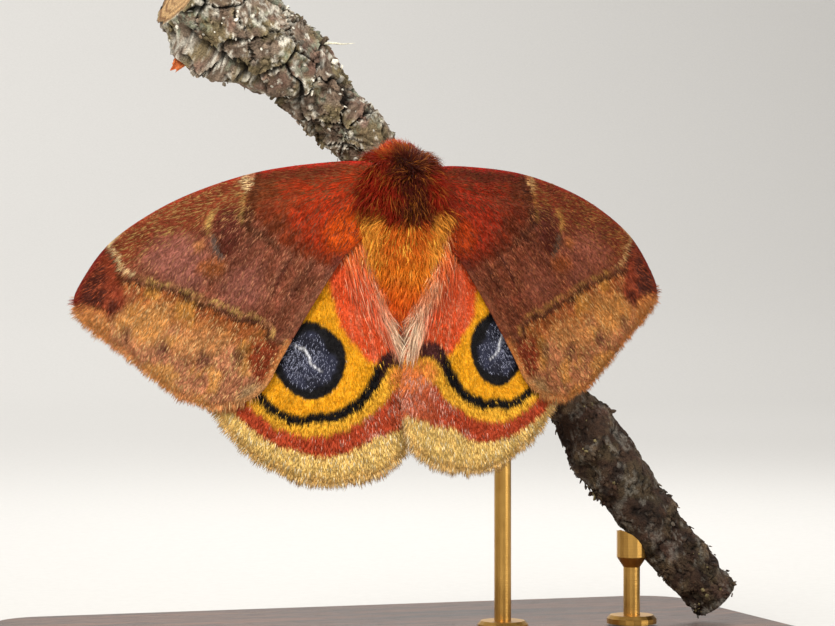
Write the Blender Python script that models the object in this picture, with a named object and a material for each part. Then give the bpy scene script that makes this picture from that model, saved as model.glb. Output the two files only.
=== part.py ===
"""Female io moth at life size, wings spread, holding a cut twig on a plain display stand.

Every size is in millimetres until a mesh is made. The origin is the centre of the
stand's underside, +Z is up, the moth's back faces -Y and its head points up.
"""
import math

import bpy
import numpy as np
from mathutils import Vector

MM = 0.001
GAP = 0.3                                # air left between pieces that touch

# The moth's own zero: its long axis, at the height of the wing hinges
MOTH_AT = np.array([-6.0, -13.0, 56.3])

# Body outline: height, sideways centre, depth centre, half width, half depth
BODY = np.array([
    (5.2, 0.2, 1.9, 0.6, 0.6),
    (4.85, 0.2, 1.8, 1.6, 1.5),
    (4.2, 0.2, 1.6, 2.6, 2.3),
    (3.1, 0.2, 1.2, 4.2, 3.1),
    (1.4, 0.1, 0.7, 5.1, 4.3),
    (-0.8, 0.1, 0.4, 5.7, 5.0),
    (-3.8, 0.3, 0.4, 5.8, 5.1),
    (-6.3, 0.45, 0.8, 5.2, 4.7),
    (-8.8, 0.6, 1.1, 4.8, 4.4),
    (-11.8, 0.7, 1.7, 4.3, 4.0),
    (-14.8, 0.75, 2.7, 3.5, 3.4),
    (-17.4, 0.8, 3.7, 2.6, 2.6),
    (-19.4, 0.8, 4.4, 1.6, 1.6),
    (-20.3, 0.8, 4.7, 0.5, 0.5),
])
NECK_AT = 1.0                            # where the head meets the thorax
WAIST_AT = -6.7                          # where the thorax meets the abdomen
BODY_SIDES = 24
OUTLINE_STEPS = 240                      # how finely the outline between stations is read

# Wings: flat outlines as (span from the hinge, height), root first, round by the front edge
FOREWING = [(-1.0, 1.4), (0.0, 2.6), (4.3, 2.6), (11.8, 1.6), (18.5, -0.4), (23.9, -2.9), (28.8, -6.3),
            (31.8, -10.1), (33.2, -13.5), (31.3, -16.2), (27.6, -18.9), (24.1, -21.8), (20.7, -24.1),
            (17.2, -25.2), (14.0, -24.6), (11.4, -22.8), (9.5, -19.4), (6.0, -13.4), (2.6, -8.2),
            (-1.0, -4.2)]
HINDWING = [(-1.0, -2.2), (2.0, -1.9), (7.5, -4.6), (14.2, -9.6), (19.0, -16.2), (19.4, -21.0), (17.2, -25.2),
            (14.2, -29.5), (9.8, -32.3), (5.0, -33.8), (0.8, -33.3), (-3.0, -31.8), (-5.2, -29.6),
            (-5.7, -24.2), (-4.7, -18.9), (-2.6, -13.8), (-1.0, -9.0), (-0.6, -5.6)]
WING_THICK = 0.6
WING_POINTS = 56
WING_RINGS = 4
ROOT_HALF = 4.0                          # the hinge line's distance from the body's axis
FORE_DEPTH = -1.0                        # how far the forewing's root lies from the axis
HIND_DEPTH = -0.1
# The wings slope back from the hinge by a lean in degrees, and bow a little more with each mm
LEFT_LEAN, LEFT_BOW = 15.0, 0.005
RIGHT_LEAN, RIGHT_BOW = 17.0, 0.0033
LEFT_TUCK, RIGHT_TUCK = 0.073, 0.0       # the left hindwing's inner edge bends behind the right's
RIGHT_SWEEP = 3.7                        # the right wings are swung this many degrees further up
RIGHT_FORE_DROP = -0.5
RIGHT_HIND_DROP = 0.8
HIND_PIVOT = -3.8

EYE_RADIUS = 1.1
EYE_AT = (2.75, 2.85, 2.65)              # sideways from the head's centre, depth, height
EYE_WIDE = 0.85                          # its width for its height
EYE_RIM = 80                             # degrees up and down to its last rings
EYE_RINGS, EYE_SIDES = 7, 12
SOCKET_SPARE = 0.05

PALP_ROUTE = [(0.75, 3.2, 2.7), (0.85, 4.4, 2.6), (0.75, 5.1, 3.0)]
PALP_RADII = (0.5, 0.62, 0.4)
PALP_STATIONS = 7

ANTENNA_ROUTE = [(2.2, 1.3, 3.5), (3.3, 1.4, 3.3), (4.7, 1.6, 2.3), (6.0, 2.0, 0.4), (7.2, 2.1, -1.4),
                 (8.6, 2.4, -3.8)]
ANTENNA_WIDTHS = (0.35, 0.65, 0.7, 0.6, 0.3)
ANTENNA_THICKS = (0.35, 0.3, 0.3, 0.3, 0.28)
ANTENNA_STATIONS = 13

# Twig: x, y, z on its centre line, and its radius there
TWIG = np.array([
    (-29.5, -8.0, 78.1, 4.9),
    (-23.8, -7.0, 74.6, 5.1),
    (-19.8, -6.2, 72.1, 5.0),
    (-16.1, -5.6, 70.0, 4.2),
    (-13.3, -5.0, 67.4, 3.6),
    (-10.0, -4.4, 63.7, 3.4),
    (-7.2, -4.0, 60.8, 3.1),
    (-1.1, -3.2, 54.5, 2.9),
    (9.8, -2.0, 41.4, 2.7),
    (17.1, -1.4, 33.1, 2.6),
    (21.1, -1.0, 28.4, 3.4),
    (24.5, -1.0, 23.7, 3.7),
    (30.2, -1.0, 15.9, 3.4),
    (38.0, -1.0, 7.4, 3.0),
])
TWIG_STATIONS = 34
TWIG_SIDES = 16
TWIG_STEPS = 400                         # how finely its centre line is read
TWIG_OVAL, TWIG_TWIST = 0.04, 9.0        # how far from round it is, and how that turns down its length
KNOT_SPACING = 9.0                       # mm between the twig's low swellings
KNOT_RISE = 0.05                         # their height, as a share of the radius

# Legs, left side: hip and knee in the moth's frame, place along the twig (0 to 1) that the foot holds
LEGS = {
    "front": {"hip": (1.4, 3.7, 0.7), "left": {"knee": (5.2, 5.3, 1.4), "hold": 0.31},
              "right": {"knee": (5.0, 5.7, 2.1), "hold": 0.325}},
    "mid": {"hip": (2.3, 4.0, -0.8), "left": {"knee": (5.4, 4.3, -3.0), "hold": 0.37},
            "right": {"knee": (7.4, 4.5, 0.1), "hold": 0.40}},
    "hind": {"hip": (2.2, 4.0, -4.0), "left": {"knee": (2.6, 6.6, -7.6), "hold": 0.45},
             "right": {"knee": (9.4, 4.2, -3.2), "hold": 0.475}},
}
LEG_RADII = (0.85, 0.8, 0.6, 0.42, 0.34)
ROUND_SIDES = 8                          # sides of legs, palps and antennae
LEG_STATIONS = 12
LEG_SIDE_LINE = (0.31, 0.17, 0.93)       # a direction that no leg runs along
GRIP_ANGLES = (62.0, 98.0, 136.0)        # degrees round the twig from the side that faces the moth
GRIP_CLEAR = 0.95                        # the foot's centre line over the bark

BASE_SIZE = (92.0, 62.0, 4.5)
BASE_CORNER = 7.0
BASE_EDGE = 0.7
ROD_RADIUS = 1.0
ROD_FOOT_RADIUS, ROD_FOOT_HEIGHT = 3.0, 1.0
ROD_HEAD_RADIUS, ROD_HEAD_HEIGHT = 1.8, 2.4
ROD_NECK = 0.5                           # where on its head the rod stops widening
ROD_BEVEL = 0.4                          # the foot's worn top edge
ROD_SIDES = 20
RODS = {"stand_rod_low": 27.0, "stand_rod_high": 10.2}      # each rod's distance along X

# Colours as linear red, green, blue, then roughness and metallic
LOOKS = {
    "fore_scales": ((0.34, 0.13, 0.07), 0.8, 0.0),
    "hind_scales": ((0.55, 0.27, 0.07), 0.8, 0.0),
    "thorax_hair": ((0.17, 0.07, 0.05), 0.9, 0.0),
    "head_hair": ((0.38, 0.10, 0.04), 0.9, 0.0),
    "abdomen_hair": ((0.62, 0.25, 0.06), 0.9, 0.0),
    "leg_hair": ((0.33, 0.10, 0.06), 0.9, 0.0),
    "antenna_horn": ((0.40, 0.25, 0.11), 0.6, 0.0),
    "eye_lens": ((0.02, 0.015, 0.012), 0.2, 0.0),
    "bark": ((0.16, 0.13, 0.11), 0.9, 0.0),
    "stand_wood": ((0.20, 0.11, 0.06), 0.45, 0.0),
    "stand_brass": ((0.70, 0.50, 0.22), 0.3, 1.0),
}


def clear_scene():
    for thing in list(bpy.data.objects):
        bpy.data.objects.remove(thing, do_unlink=True)


def look(name):
    """The material of that name, made the first time it is asked for."""
    found = bpy.data.materials.get(name)
    if found:
        return found
    colour, roughness, metallic = LOOKS[name]
    made = bpy.data.materials.new(name)
    made.use_nodes = True
    shader = made.node_tree.nodes["Principled BSDF"]
    shader.inputs["Base Color"].default_value = (*colour, 1.0)
    shader.inputs["Roughness"].default_value = roughness
    shader.inputs["Metallic"].default_value = metallic
    return made


def solid(name, points, faces, finish):
    """A closed mesh from points in mm."""
    mesh = bpy.data.meshes.new(name)
    mesh.from_pydata([Vector(point) * MM for point in points], [], faces)
    mesh.update()
    mesh.shade_smooth()
    mesh.set_sharp_from_angle(angle=math.radians(40))
    mesh.materials.append(look(finish))
    thing = bpy.data.objects.new(name, mesh)
    bpy.context.scene.collection.objects.link(thing)
    return thing


def as_cutter(thing):
    thing.hide_render = True
    thing.display_type = "WIRE"
    return thing


def cut(thing, cutter):
    step = thing.modifiers.new("clearance", "BOOLEAN")
    step.operation = "DIFFERENCE"
    step.solver = "EXACT"
    step.object = cutter


def smooth_curve(points, count, closed=False):
    """Evenly spaced points on a Catmull-Rom curve through the given ones."""
    points = np.asarray(points, float)
    if closed:
        padded = np.vstack([points[-1], points, points[:2]])
    else:
        padded = np.vstack([2 * points[0] - points[1], points, 2 * points[-1] - points[-2]])
    fine = []
    for before, start, end, after in zip(padded, padded[1:], padded[2:], padded[3:]):
        for t in np.linspace(0, 1, 16, endpoint=False):
            fine.append(0.5 * (2 * start + (end - before) * t
                               + (2 * before - 5 * start + 4 * end - after) * t**2
                               + (3 * start - before - 3 * end + after) * t**3))
    fine.append(points[0] if closed else points[-1])
    fine = np.array(fine)
    along = np.concatenate([[0], np.cumsum(np.linalg.norm(np.diff(fine, axis=0), axis=1))])
    stops = np.linspace(0, along[-1], count, endpoint=not closed)
    return np.stack([np.interp(stops, along, fine[:, axis]) for axis in range(fine.shape[1])], axis=1)


def tube_faces(rings, sides):
    """Faces between rings of points, with both ends capped."""
    faces = []
    for ring in range(rings - 1):
        for side in range(sides):
            here, beside = ring * sides + side, ring * sides + (side + 1) % sides
            faces.append((here, beside, beside + sides, here + sides))
    faces.append(tuple(reversed(range(sides))))
    faces.append(tuple(range((rings - 1) * sides, rings * sides)))
    return faces


def body_at(heights, column):
    """One column of the body's outline at the given heights, rounded between stations."""
    curve = smooth_curve(BODY, OUTLINE_STEPS)
    return np.interp(heights, curve[::-1, 0], curve[::-1, column])


def body_length(name, low, high, stations, finish, grow=0.0):
    """A length of the body between two heights, grown outward when it is a cutter."""
    heights = np.linspace(low - grow, high + grow, stations)
    turn = np.linspace(0, 2 * math.pi, BODY_SIDES, endpoint=False)
    points = []
    for height in heights:
        level = min(max(height, BODY[-1, 0]), BODY[0, 0])
        wide = body_at(level, 3) + grow
        deep = body_at(level, 4) + grow
        x = body_at(level, 1) + wide * np.cos(turn)
        y = body_at(level, 2) + deep * np.sin(turn)
        points.extend(MOTH_AT + np.stack([x, y, np.full_like(x, height)], axis=1))
    return solid(name, points, tube_faces(stations, BODY_SIDES), finish)


def wing_surface(flat, side, depth, lean, bow, tuck):
    """Points and front-facing normals of the bowed wing sheet at flat (span, height) places."""
    span, height = flat[:, 0], flat[:, 1]
    lean = math.radians(lean)
    outward = np.maximum(span, 0.0)
    inward = np.minimum(span, 0.0)
    across = (np.sin(lean + bow * outward) - math.sin(lean)) / bow + inward * math.cos(lean)
    back = (math.cos(lean) - np.cos(lean + bow * outward)) / bow + inward * math.sin(lean) + tuck * inward**2
    slope = lean + bow * outward + 2 * tuck * inward
    points = np.stack([side * (ROOT_HALF + across), depth + back, height], axis=1)
    normals = np.stack([side * np.sin(slope), -np.cos(slope), np.zeros_like(span)], axis=1)
    return MOTH_AT + points, normals


def swing(flat, pivot_height, degrees, rise):
    """Turn a flat outline about the hinge, outward and up, and lift it."""
    angle = math.radians(degrees)
    span, height = flat[:, 0], flat[:, 1] - pivot_height
    turned = np.stack([span * math.cos(angle) - height * math.sin(angle),
                       span * math.sin(angle) + height * math.cos(angle)], axis=1)
    return turned + np.array([0.0, pivot_height + rise])


def wing(name, outline, side, depth, pivot_height, rise, tuck, finish):
    """A thin bowed sheet: rings of points from its middle out to the outline, front and back."""
    flat = smooth_curve(outline, WING_POINTS, closed=True)
    lean, bow = LEFT_LEAN, LEFT_BOW
    if side > 0:
        flat = swing(flat, pivot_height, RIGHT_SWEEP, rise)
        lean, bow = RIGHT_LEAN, RIGHT_BOW
    middle = flat.mean(axis=0)
    rings = [middle + (flat - middle) * share for share in np.linspace(1, 0, WING_RINGS, endpoint=False)]
    flat = np.vstack(rings + [middle])
    centre, normal = wing_surface(flat, side, depth, lean, bow, tuck)
    front = centre + normal * WING_THICK / 2
    back = centre - normal * WING_THICK / 2
    count = len(flat)
    hub = count - 1
    faces = []
    for point in range(WING_POINTS):
        beside = (point + 1) % WING_POINTS
        for ring in range(WING_RINGS - 1):
            a, b = ring * WING_POINTS + point, ring * WING_POINTS + beside
            faces.append((a, b, b + WING_POINTS, a + WING_POINTS))
            faces.append((a + WING_POINTS + count, b + WING_POINTS + count, b + count, a + count))
        last = (WING_RINGS - 1) * WING_POINTS
        faces.append((last + point, last + beside, hub))
        faces.append((hub + count, last + beside + count, last + point + count))
        faces.append((point, point + count, beside + count, beside))
    # The outline runs the other way round on the left, seen from the front
    if side < 0:
        faces = [tuple(reversed(face)) for face in faces]
    return solid(name, np.vstack([front, back]), faces, finish)


def sweep(name, route, widths, thicks, stations, finish, flat_towards=(0.0, 1.0, 0.0)):
    """A tapering rod with rounded ends along a smooth route, oval when widths and thicks differ."""
    path = smooth_curve(route, stations)
    share = np.linspace(0, 1, stations)
    knots = np.linspace(0, 1, len(widths))
    rounding = np.sqrt(np.clip(1 - np.abs(2 * share - 1)**14, 0.12, 1))
    wide = np.interp(share, knots, widths) * rounding
    thick = np.interp(share, knots, thicks) * rounding
    heading = np.gradient(path, axis=0)
    heading /= np.linalg.norm(heading, axis=1, keepdims=True)
    turn = np.linspace(0, 2 * math.pi, ROUND_SIDES, endpoint=False)
    points = []
    for place, ahead, half_wide, half_thick in zip(path, heading, wide, thick):
        across = np.cross(ahead, flat_towards)
        across /= np.linalg.norm(across)
        up = np.cross(across, ahead)
        points.extend(place + half_wide * np.outer(np.cos(turn), across)
                      + half_thick * np.outer(np.sin(turn), up))
    return solid(name, points, [tuple(reversed(face)) for face in tube_faces(stations, ROUND_SIDES)], finish)


def eye_ball(name, side, radius, wide):
    """A ball on the side of the head, its width a share of its height."""
    centre = MOTH_AT + np.array([body_at(EYE_AT[2], 1) + side * EYE_AT[0], EYE_AT[1], EYE_AT[2]])
    points = []
    for rise in np.radians(np.linspace(-EYE_RIM, EYE_RIM, EYE_RINGS)):
        ring = math.cos(rise) * radius
        for turn in np.linspace(0, 2 * math.pi, EYE_SIDES, endpoint=False):
            points.append(centre + np.array([wide * ring * math.cos(turn), ring * math.sin(turn),
                                             radius * math.sin(rise)]))
    return solid(name, points, tube_faces(EYE_RINGS, EYE_SIDES), "eye_lens")


def mirrored(route, side):
    """A right-hand route in the moth's frame, set in the world on either side."""
    return MOTH_AT + np.asarray(route) * np.array([side, 1.0, 1.0])


def twig_frame(share):
    """Centre, heading, the direction towards the moth, the third direction and radius."""
    line = smooth_curve(TWIG, TWIG_STEPS)
    last = TWIG_STEPS - 1
    index = int(round(share * last))
    ahead = line[min(index + 2, last), :3] - line[max(index - 2, 0), :3]
    ahead /= np.linalg.norm(ahead)
    third = np.cross(ahead, (0.0, -1.0, 0.0))
    third /= np.linalg.norm(third)
    towards = np.cross(third, ahead)
    return line[index, :3], ahead, towards, third, line[index, 3]


def twig(name, finish, grow=0.0):
    """The cut twig, a tapering rod with low swellings."""
    length = np.linalg.norm(TWIG[-1, :3] - TWIG[0, :3])
    turn = np.linspace(0, 2 * math.pi, TWIG_SIDES, endpoint=False)
    points = []
    for share in np.linspace(0, 1, TWIG_STATIONS):
        centre, ahead, towards, third, radius = twig_frame(share)
        knots = 1 + KNOT_RISE * math.sin(2 * math.pi * share * length / KNOT_SPACING)
        around = radius * knots * (1 + TWIG_OVAL * np.cos(2 * turn + TWIG_TWIST * share)) + grow
        points.extend(centre + np.outer(np.cos(turn) * around, towards)
                      + np.outer(np.sin(turn) * around, third))
    return solid(name, points, tube_faces(TWIG_STATIONS, TWIG_SIDES), finish)


def leg(name, hip, knee, hold, side):
    """From the hip out to the knee, then down to the bark and round it with the foot."""
    centre, _, towards, third, radius = twig_frame(hold)
    reach = radius * (1 + KNOT_RISE) + GRIP_CLEAR
    sign = side if third[0] > 0 else -side
    route = [MOTH_AT + np.array([side * hip[0], hip[1], hip[2]]),
             MOTH_AT + np.array([side * knee[0], knee[1], knee[2]])]
    for degrees in GRIP_ANGLES:
        angle = math.radians(degrees)
        route.append(centre + reach * (math.cos(angle) * towards + sign * math.sin(angle) * third))
    return sweep(name, route, LEG_RADII, LEG_RADII, LEG_STATIONS, "leg_hair", LEG_SIDE_LINE)


def stand_base():
    """A flat slab with round corners and a softened top edge."""
    half_x, half_y, height = BASE_SIZE[0] / 2, BASE_SIZE[1] / 2, BASE_SIZE[2]

    def ring(inset, level):
        corner = BASE_CORNER - inset
        points = []
        for quarter, (sx, sy) in enumerate([(1, 1), (-1, 1), (-1, -1), (1, -1)]):
            for step in np.linspace(0, math.pi / 2, 8):
                angle = quarter * math.pi / 2 + step
                points.append((sx * (half_x - BASE_CORNER) + corner * math.cos(angle),
                               sy * (half_y - BASE_CORNER) + corner * math.sin(angle), level))
        return points

    points = ring(0, 0) + ring(0, height - BASE_EDGE)
    for step in (30, 60, 90):
        angle = math.radians(step)
        points += ring(BASE_EDGE * (1 - math.cos(angle)), height - BASE_EDGE * (1 - math.sin(angle)))
    return solid("stand_base", points, tube_faces(5, 32), "stand_wood")


def stand_rod(name, x, twig_cutter):
    """A turned rod with a flat foot and a cupped head under the twig."""
    line = smooth_curve(TWIG, TWIG_STEPS)
    over = np.argmin(np.abs(line[:, 0] - x))
    nearest = line[over]
    top = nearest[2]
    slope = twig_frame(over / (TWIG_STEPS - 1))[1]
    underside = top - nearest[3] / math.hypot(slope[0], slope[1])
    low = BASE_SIZE[2] + GAP
    profile = [(ROD_FOOT_RADIUS, low), (ROD_FOOT_RADIUS, low + ROD_FOOT_HEIGHT - ROD_BEVEL),
               (ROD_FOOT_RADIUS - ROD_BEVEL, low + ROD_FOOT_HEIGHT), (ROD_RADIUS, low + ROD_FOOT_HEIGHT),
               (ROD_RADIUS, underside - ROD_HEAD_HEIGHT),
               (ROD_HEAD_RADIUS, underside - ROD_NECK * ROD_HEAD_HEIGHT),
               (ROD_HEAD_RADIUS, top)]
    turn = np.linspace(0, 2 * math.pi, ROD_SIDES, endpoint=False)
    points = []
    for radius, height in profile:
        points.extend((x + radius * math.cos(angle), nearest[1] + radius * math.sin(angle), height)
                      for angle in turn)
    rod = solid(name, points, tube_faces(len(profile), ROD_SIDES), "stand_brass")
    cut(rod, twig_cutter)


def build():
    clear_scene()
    body_cutter = as_cutter(body_length("body_room", BODY[-1, 0], BODY[0, 0], 40, "thorax_hair", GAP))
    head = body_length("head", NECK_AT + GAP / 2, BODY[0, 0], 9, "head_hair")
    body_length("thorax", WAIST_AT + GAP / 2, NECK_AT - GAP / 2, 10, "thorax_hair")
    body_length("abdomen", BODY[-1, 0], WAIST_AT - GAP / 2, 12, "abdomen_hair")
    twig("perch", "bark")
    twig_cutter = as_cutter(twig("twig_room", "bark", GAP))
    for hand, side in (("left", -1), ("right", 1)):
        eye_ball(f"eye_{hand}", side, EYE_RADIUS, EYE_WIDE)
        cut(head, as_cutter(eye_ball(f"socket_{hand}", side, EYE_RADIUS + GAP + SOCKET_SPARE, 1.0)))
        tuck = LEFT_TUCK if side < 0 else RIGHT_TUCK
        fore = wing(f"forewing_{hand}", FOREWING, side, FORE_DEPTH, 0.0, RIGHT_FORE_DROP, 0.0, "fore_scales")
        hind = wing(f"hindwing_{hand}", HINDWING, side, HIND_DEPTH, HIND_PIVOT, RIGHT_HIND_DROP, tuck,
                    "hind_scales")
        palp = sweep(f"palp_{hand}", mirrored(PALP_ROUTE, side), PALP_RADII, PALP_RADII, PALP_STATIONS,
                     "head_hair")
        feeler = sweep(f"antenna_{hand}", mirrored(ANTENNA_ROUTE, side), ANTENNA_WIDTHS, ANTENNA_THICKS,
                       ANTENNA_STATIONS, "antenna_horn")
        for piece in (fore, hind, palp, feeler):
            cut(piece, body_cutter)
        for pair, places in LEGS.items():
            made = leg(f"leg_{pair}_{hand}", places["hip"], places[hand]["knee"], places[hand]["hold"], side)
            cut(made, body_cutter)
    stand_base()
    for name, x in RODS.items():
        stand_rod(name, x, twig_cutter)


build()
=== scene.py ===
# A female io moth at life size, holding a cut twig on a display stand. Sizes are in millimetres in the
# frame's own axes until a mesh is made: +Z is up, the moth's back faces -Y and its right side is at +X.
import math
import bpy
import numpy as np
from mathutils import Matrix, geometry


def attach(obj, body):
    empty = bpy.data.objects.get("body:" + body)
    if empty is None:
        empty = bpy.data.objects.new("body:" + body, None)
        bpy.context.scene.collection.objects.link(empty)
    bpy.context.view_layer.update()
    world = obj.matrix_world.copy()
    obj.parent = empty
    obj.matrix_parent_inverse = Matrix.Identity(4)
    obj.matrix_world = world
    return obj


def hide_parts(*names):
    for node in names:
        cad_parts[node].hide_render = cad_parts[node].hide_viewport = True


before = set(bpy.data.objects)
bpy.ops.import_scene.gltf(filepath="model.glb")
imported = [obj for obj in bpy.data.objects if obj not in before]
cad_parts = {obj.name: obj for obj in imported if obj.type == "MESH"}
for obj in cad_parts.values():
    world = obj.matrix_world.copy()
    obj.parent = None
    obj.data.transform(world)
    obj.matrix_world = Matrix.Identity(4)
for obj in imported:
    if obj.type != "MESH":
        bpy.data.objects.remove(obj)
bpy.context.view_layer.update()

# The stand's base: a flat block of dark hardwood with round corners and a softened top edge, sanded
# and rubbed with oil. Its grain runs the long way. It lies loose on the table.
WOOD_DARK, WOOD_LIGHT, PORE_DARK = (52, 27, 15), (112, 66, 36), (30, 16, 9)


def screen(colour):
    """A colour given as screen values from 0 to 255, as the linear light that shaders take."""
    value = np.asarray(colour, float) / 255
    return np.where(value <= 0.04045, value / 12.92, ((value + 0.055) / 1.055) ** 2.4)


def opaque(colour):
    return (*screen(colour).tolist(), 1.0)


def place(tree, kind, inputs=None, **settings):
    """Puts one node in a tree. Each input is a plain value or the socket that feeds it."""
    node = tree.nodes.new(kind)
    for name, value in settings.items():
        setattr(node, name, value)
    for name, value in (inputs or {}).items():
        if isinstance(value, bpy.types.NodeSocket):
            tree.links.new(value, node.inputs[name])
        else:
            node.inputs[name].default_value = value
    return node


def new_finish(name, values):
    """A material, its tree and its Principled shader, with the shader's plain values set."""
    finish = bpy.data.materials.new(name)
    finish.use_nodes = True
    shader = finish.node_tree.nodes["Principled BSDF"]
    for socket, value in values.items():
        shader.inputs[socket].default_value = value
    return finish, finish.node_tree, shader


def blend_colours(tree, mask, low, high, mode="MIX"):
    """The low colour where the mask is 0, the high one where it is 1."""
    mix = place(tree, "ShaderNodeMix", {0: mask, 6: low, 7: high}, data_type="RGBA", blend_type=mode)
    return mix.outputs[2]


def stretched_noise(tree, scale, detail=4.0, size=1.0):
    """Noise over the piece's own place in metres, drawn out along the axes with a small scale."""
    spot = place(tree, "ShaderNodeTexCoord").outputs["Object"]
    drawn = place(tree, "ShaderNodeMapping", {"Vector": spot, "Scale": scale})
    noise = place(tree, "ShaderNodeTexNoise", {"Vector": drawn.outputs["Vector"], "Scale": size,
                                               "Detail": detail})
    return noise.outputs["Fac"]


def dented(tree, shader, height, distance, strength=1.0):
    """Feeds a height in metres to the shader's normal."""
    bump = place(tree, "ShaderNodeBump", {"Height": height, "Distance": distance, "Strength": strength})
    tree.links.new(bump.outputs["Normal"], shader.inputs["Normal"])


def dress(node, finish):
    """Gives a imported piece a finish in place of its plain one."""
    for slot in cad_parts[node].material_slots:
        slot.material = finish


finish, tree, shader = new_finish("oiled hardwood", {"Roughness": 0.42, "Coat Weight": 0.15})
grain = stretched_noise(tree, (28.0, 420.0, 420.0), 6.0)
pores = stretched_noise(tree, (260.0, 3800.0, 3800.0), 2.0)
pore_mask = place(tree, "ShaderNodeMapRange", {"Value": pores, "From Min": 0.34, "From Max": 0.46})
figure = place(tree, "ShaderNodeMapRange", {"Value": grain, "From Min": 0.32, "From Max": 0.68})
colour = blend_colours(tree, figure.outputs["Result"], opaque(WOOD_DARK), opaque(WOOD_LIGHT))
colour = blend_colours(tree, pore_mask.outputs["Result"], opaque(PORE_DARK), colour)
tree.links.new(colour, shader.inputs["Base Color"])
dented(tree, shader, pore_mask.outputs["Result"], 0.00006)
dress("stand_base", finish)

# The two rods: turned brass, each with a flat foot that is screwed from below and a cup that the
# twig lies in. The tool left fine rings, and handling has dulled the metal a little.
BRASS_DULL, BRASS_BRIGHT = (150, 108, 48), (222, 176, 96)
finish, tree, shader = new_finish("turned brass", {"Metallic": 1.0, "Roughness": 0.3})
rings = stretched_noise(tree, (90.0, 90.0, 9000.0), 2.0)
tarnish = stretched_noise(tree, (500.0, 500.0, 300.0), 5.0)
colour = blend_colours(tree, tarnish, opaque(BRASS_DULL), opaque(BRASS_BRIGHT))
tree.links.new(colour, shader.inputs["Base Color"])
dull = place(tree, "ShaderNodeMapRange", {"Value": tarnish, "To Min": 0.22, "To Max": 0.42})
tree.links.new(dull.outputs["Result"], shader.inputs["Roughness"])
dented(tree, shader, rings, 0.00002)
dress("stand_rod_low", finish)
dress("stand_rod_high", finish)

# The perch: a short length of an old twig, sawn at both ends. Its thick upper part has grey bark in
# plates, with crusts of lichen and cracks painted black as shade; its thin lower part is brown, ringed and
# knobbly, darkened further down by painted shade, with painted highlights on the knobs' tops.
TWIG = np.array([(-29.5, -8.0, 78.1, 4.9), (-23.8, -7.0, 74.6, 5.1), (-19.8, -6.2, 72.1, 5.0),
                 (-16.1, -5.6, 70.0, 4.2), (-13.3, -5.0, 67.4, 3.6), (-10.0, -4.4, 63.7, 3.4),
                 (-7.2, -4.0, 60.8, 3.1), (-1.1, -3.2, 54.5, 2.9), (9.8, -2.0, 41.4, 2.7),
                 (17.1, -1.4, 33.1, 2.6), (21.1, -1.0, 28.4, 3.4), (24.5, -1.0, 23.7, 3.7),
                 (30.2, -1.0, 15.9, 3.4), (38.0, -1.0, 7.4, 3.0)])    # x, y, z and radius
TWIG_STEPS = 400
TWIG_RINGS, TWIG_SIDES, CUT_RINGS = 460, 130, 14
PLATED_TO = 0.34                       # share of the twig's length, from the top, that has plates
BARK_GREY, BARK_BROWN, CRACK_SHADE = (146, 128, 110), (78, 56, 42), (16, 12, 9)
BARK_PINK, BARK_OLIVE = (142, 104, 90), (124, 112, 78)
BARK_DARK, KNOB_HIGHLIGHT, RING_BROWN = (54, 40, 32), (168, 142, 110), (122, 84, 52)
LICHEN_WHITE, LICHEN_MINT, BARE_WOOD = (222, 216, 200), (148, 162, 140), (196, 158, 110)
SLIT_ANGLE = 58.0                      # degrees round the twig, from the side that faces the moth
ROD_XS, ROD_REACH = (27.0, 10.2), 3.5  # where the rods' cups hold the twig, and how far the bark is low there
MM = 0.001


def smooth_curve(points, count, closed=False):
    """Evenly spaced points on a Catmull-Rom curve through the given ones."""
    points = np.asarray(points, float)
    if closed:
        padded = np.vstack([points[-1], points, points[:2]])
    else:
        padded = np.vstack([2 * points[0] - points[1], points, 2 * points[-1] - points[-2]])
    fine = []
    for before, start, end, after in zip(padded, padded[1:], padded[2:], padded[3:]):
        for t in np.linspace(0, 1, 16, endpoint=False):
            fine.append(0.5 * (2 * start + (end - before) * t
                               + (2 * before - 5 * start + 4 * end - after) * t**2
                               + (3 * start - before - 3 * end + after) * t**3))
    fine.append(points[0] if closed else points[-1])
    fine = np.array(fine)
    along = np.concatenate([[0], np.cumsum(np.linalg.norm(np.diff(fine, axis=0), axis=1))])
    stops = np.linspace(0, along[-1], count, endpoint=not closed)
    return np.stack([np.interp(stops, along, fine[:, axis]) for axis in range(fine.shape[1])], axis=1)


def unit(vectors):
    return vectors / np.maximum(np.linalg.norm(vectors, axis=-1, keepdims=True), 1e-9)


def fade(value, start, end):
    """0 before start, 1 past end, with a soft step between."""
    share = np.clip((value - start) / (end - start), 0, 1)
    return share * share * (3 - 2 * share)


def lattice_value(cells, seed):
    """A repeatable random number from 0 to 1 for each whole-number cell."""
    table = np.random.default_rng(seed).random(4096)
    factors = np.array([73856093, 19349663, 83492791])[:cells.shape[1]]
    return table[np.bitwise_xor.reduce(cells * factors, axis=1) & 4095]


def cloud(places, size, seed):
    """Smooth random values from 0 to 1 that change over about the given size."""
    scaled = places / size
    base = np.floor(scaled).astype(np.int64)
    part = scaled - base
    part = part * part * (3 - 2 * part)
    total = np.zeros(len(places))
    for corner in np.ndindex(*(2,) * places.shape[1]):
        weight = np.prod(np.where(np.array(corner) == 1, part, 1 - part), axis=1)
        total += weight * lattice_value(base + np.array(corner), seed)
    return total


def rough_cloud(places, size, seed):
    """A cloud with finer clouds laid over it."""
    return (cloud(places, size, seed) + 0.5 * cloud(places, size / 2.1, seed + 1)
            + 0.25 * cloud(places, size / 4.3, seed + 2)) / 1.75


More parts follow.
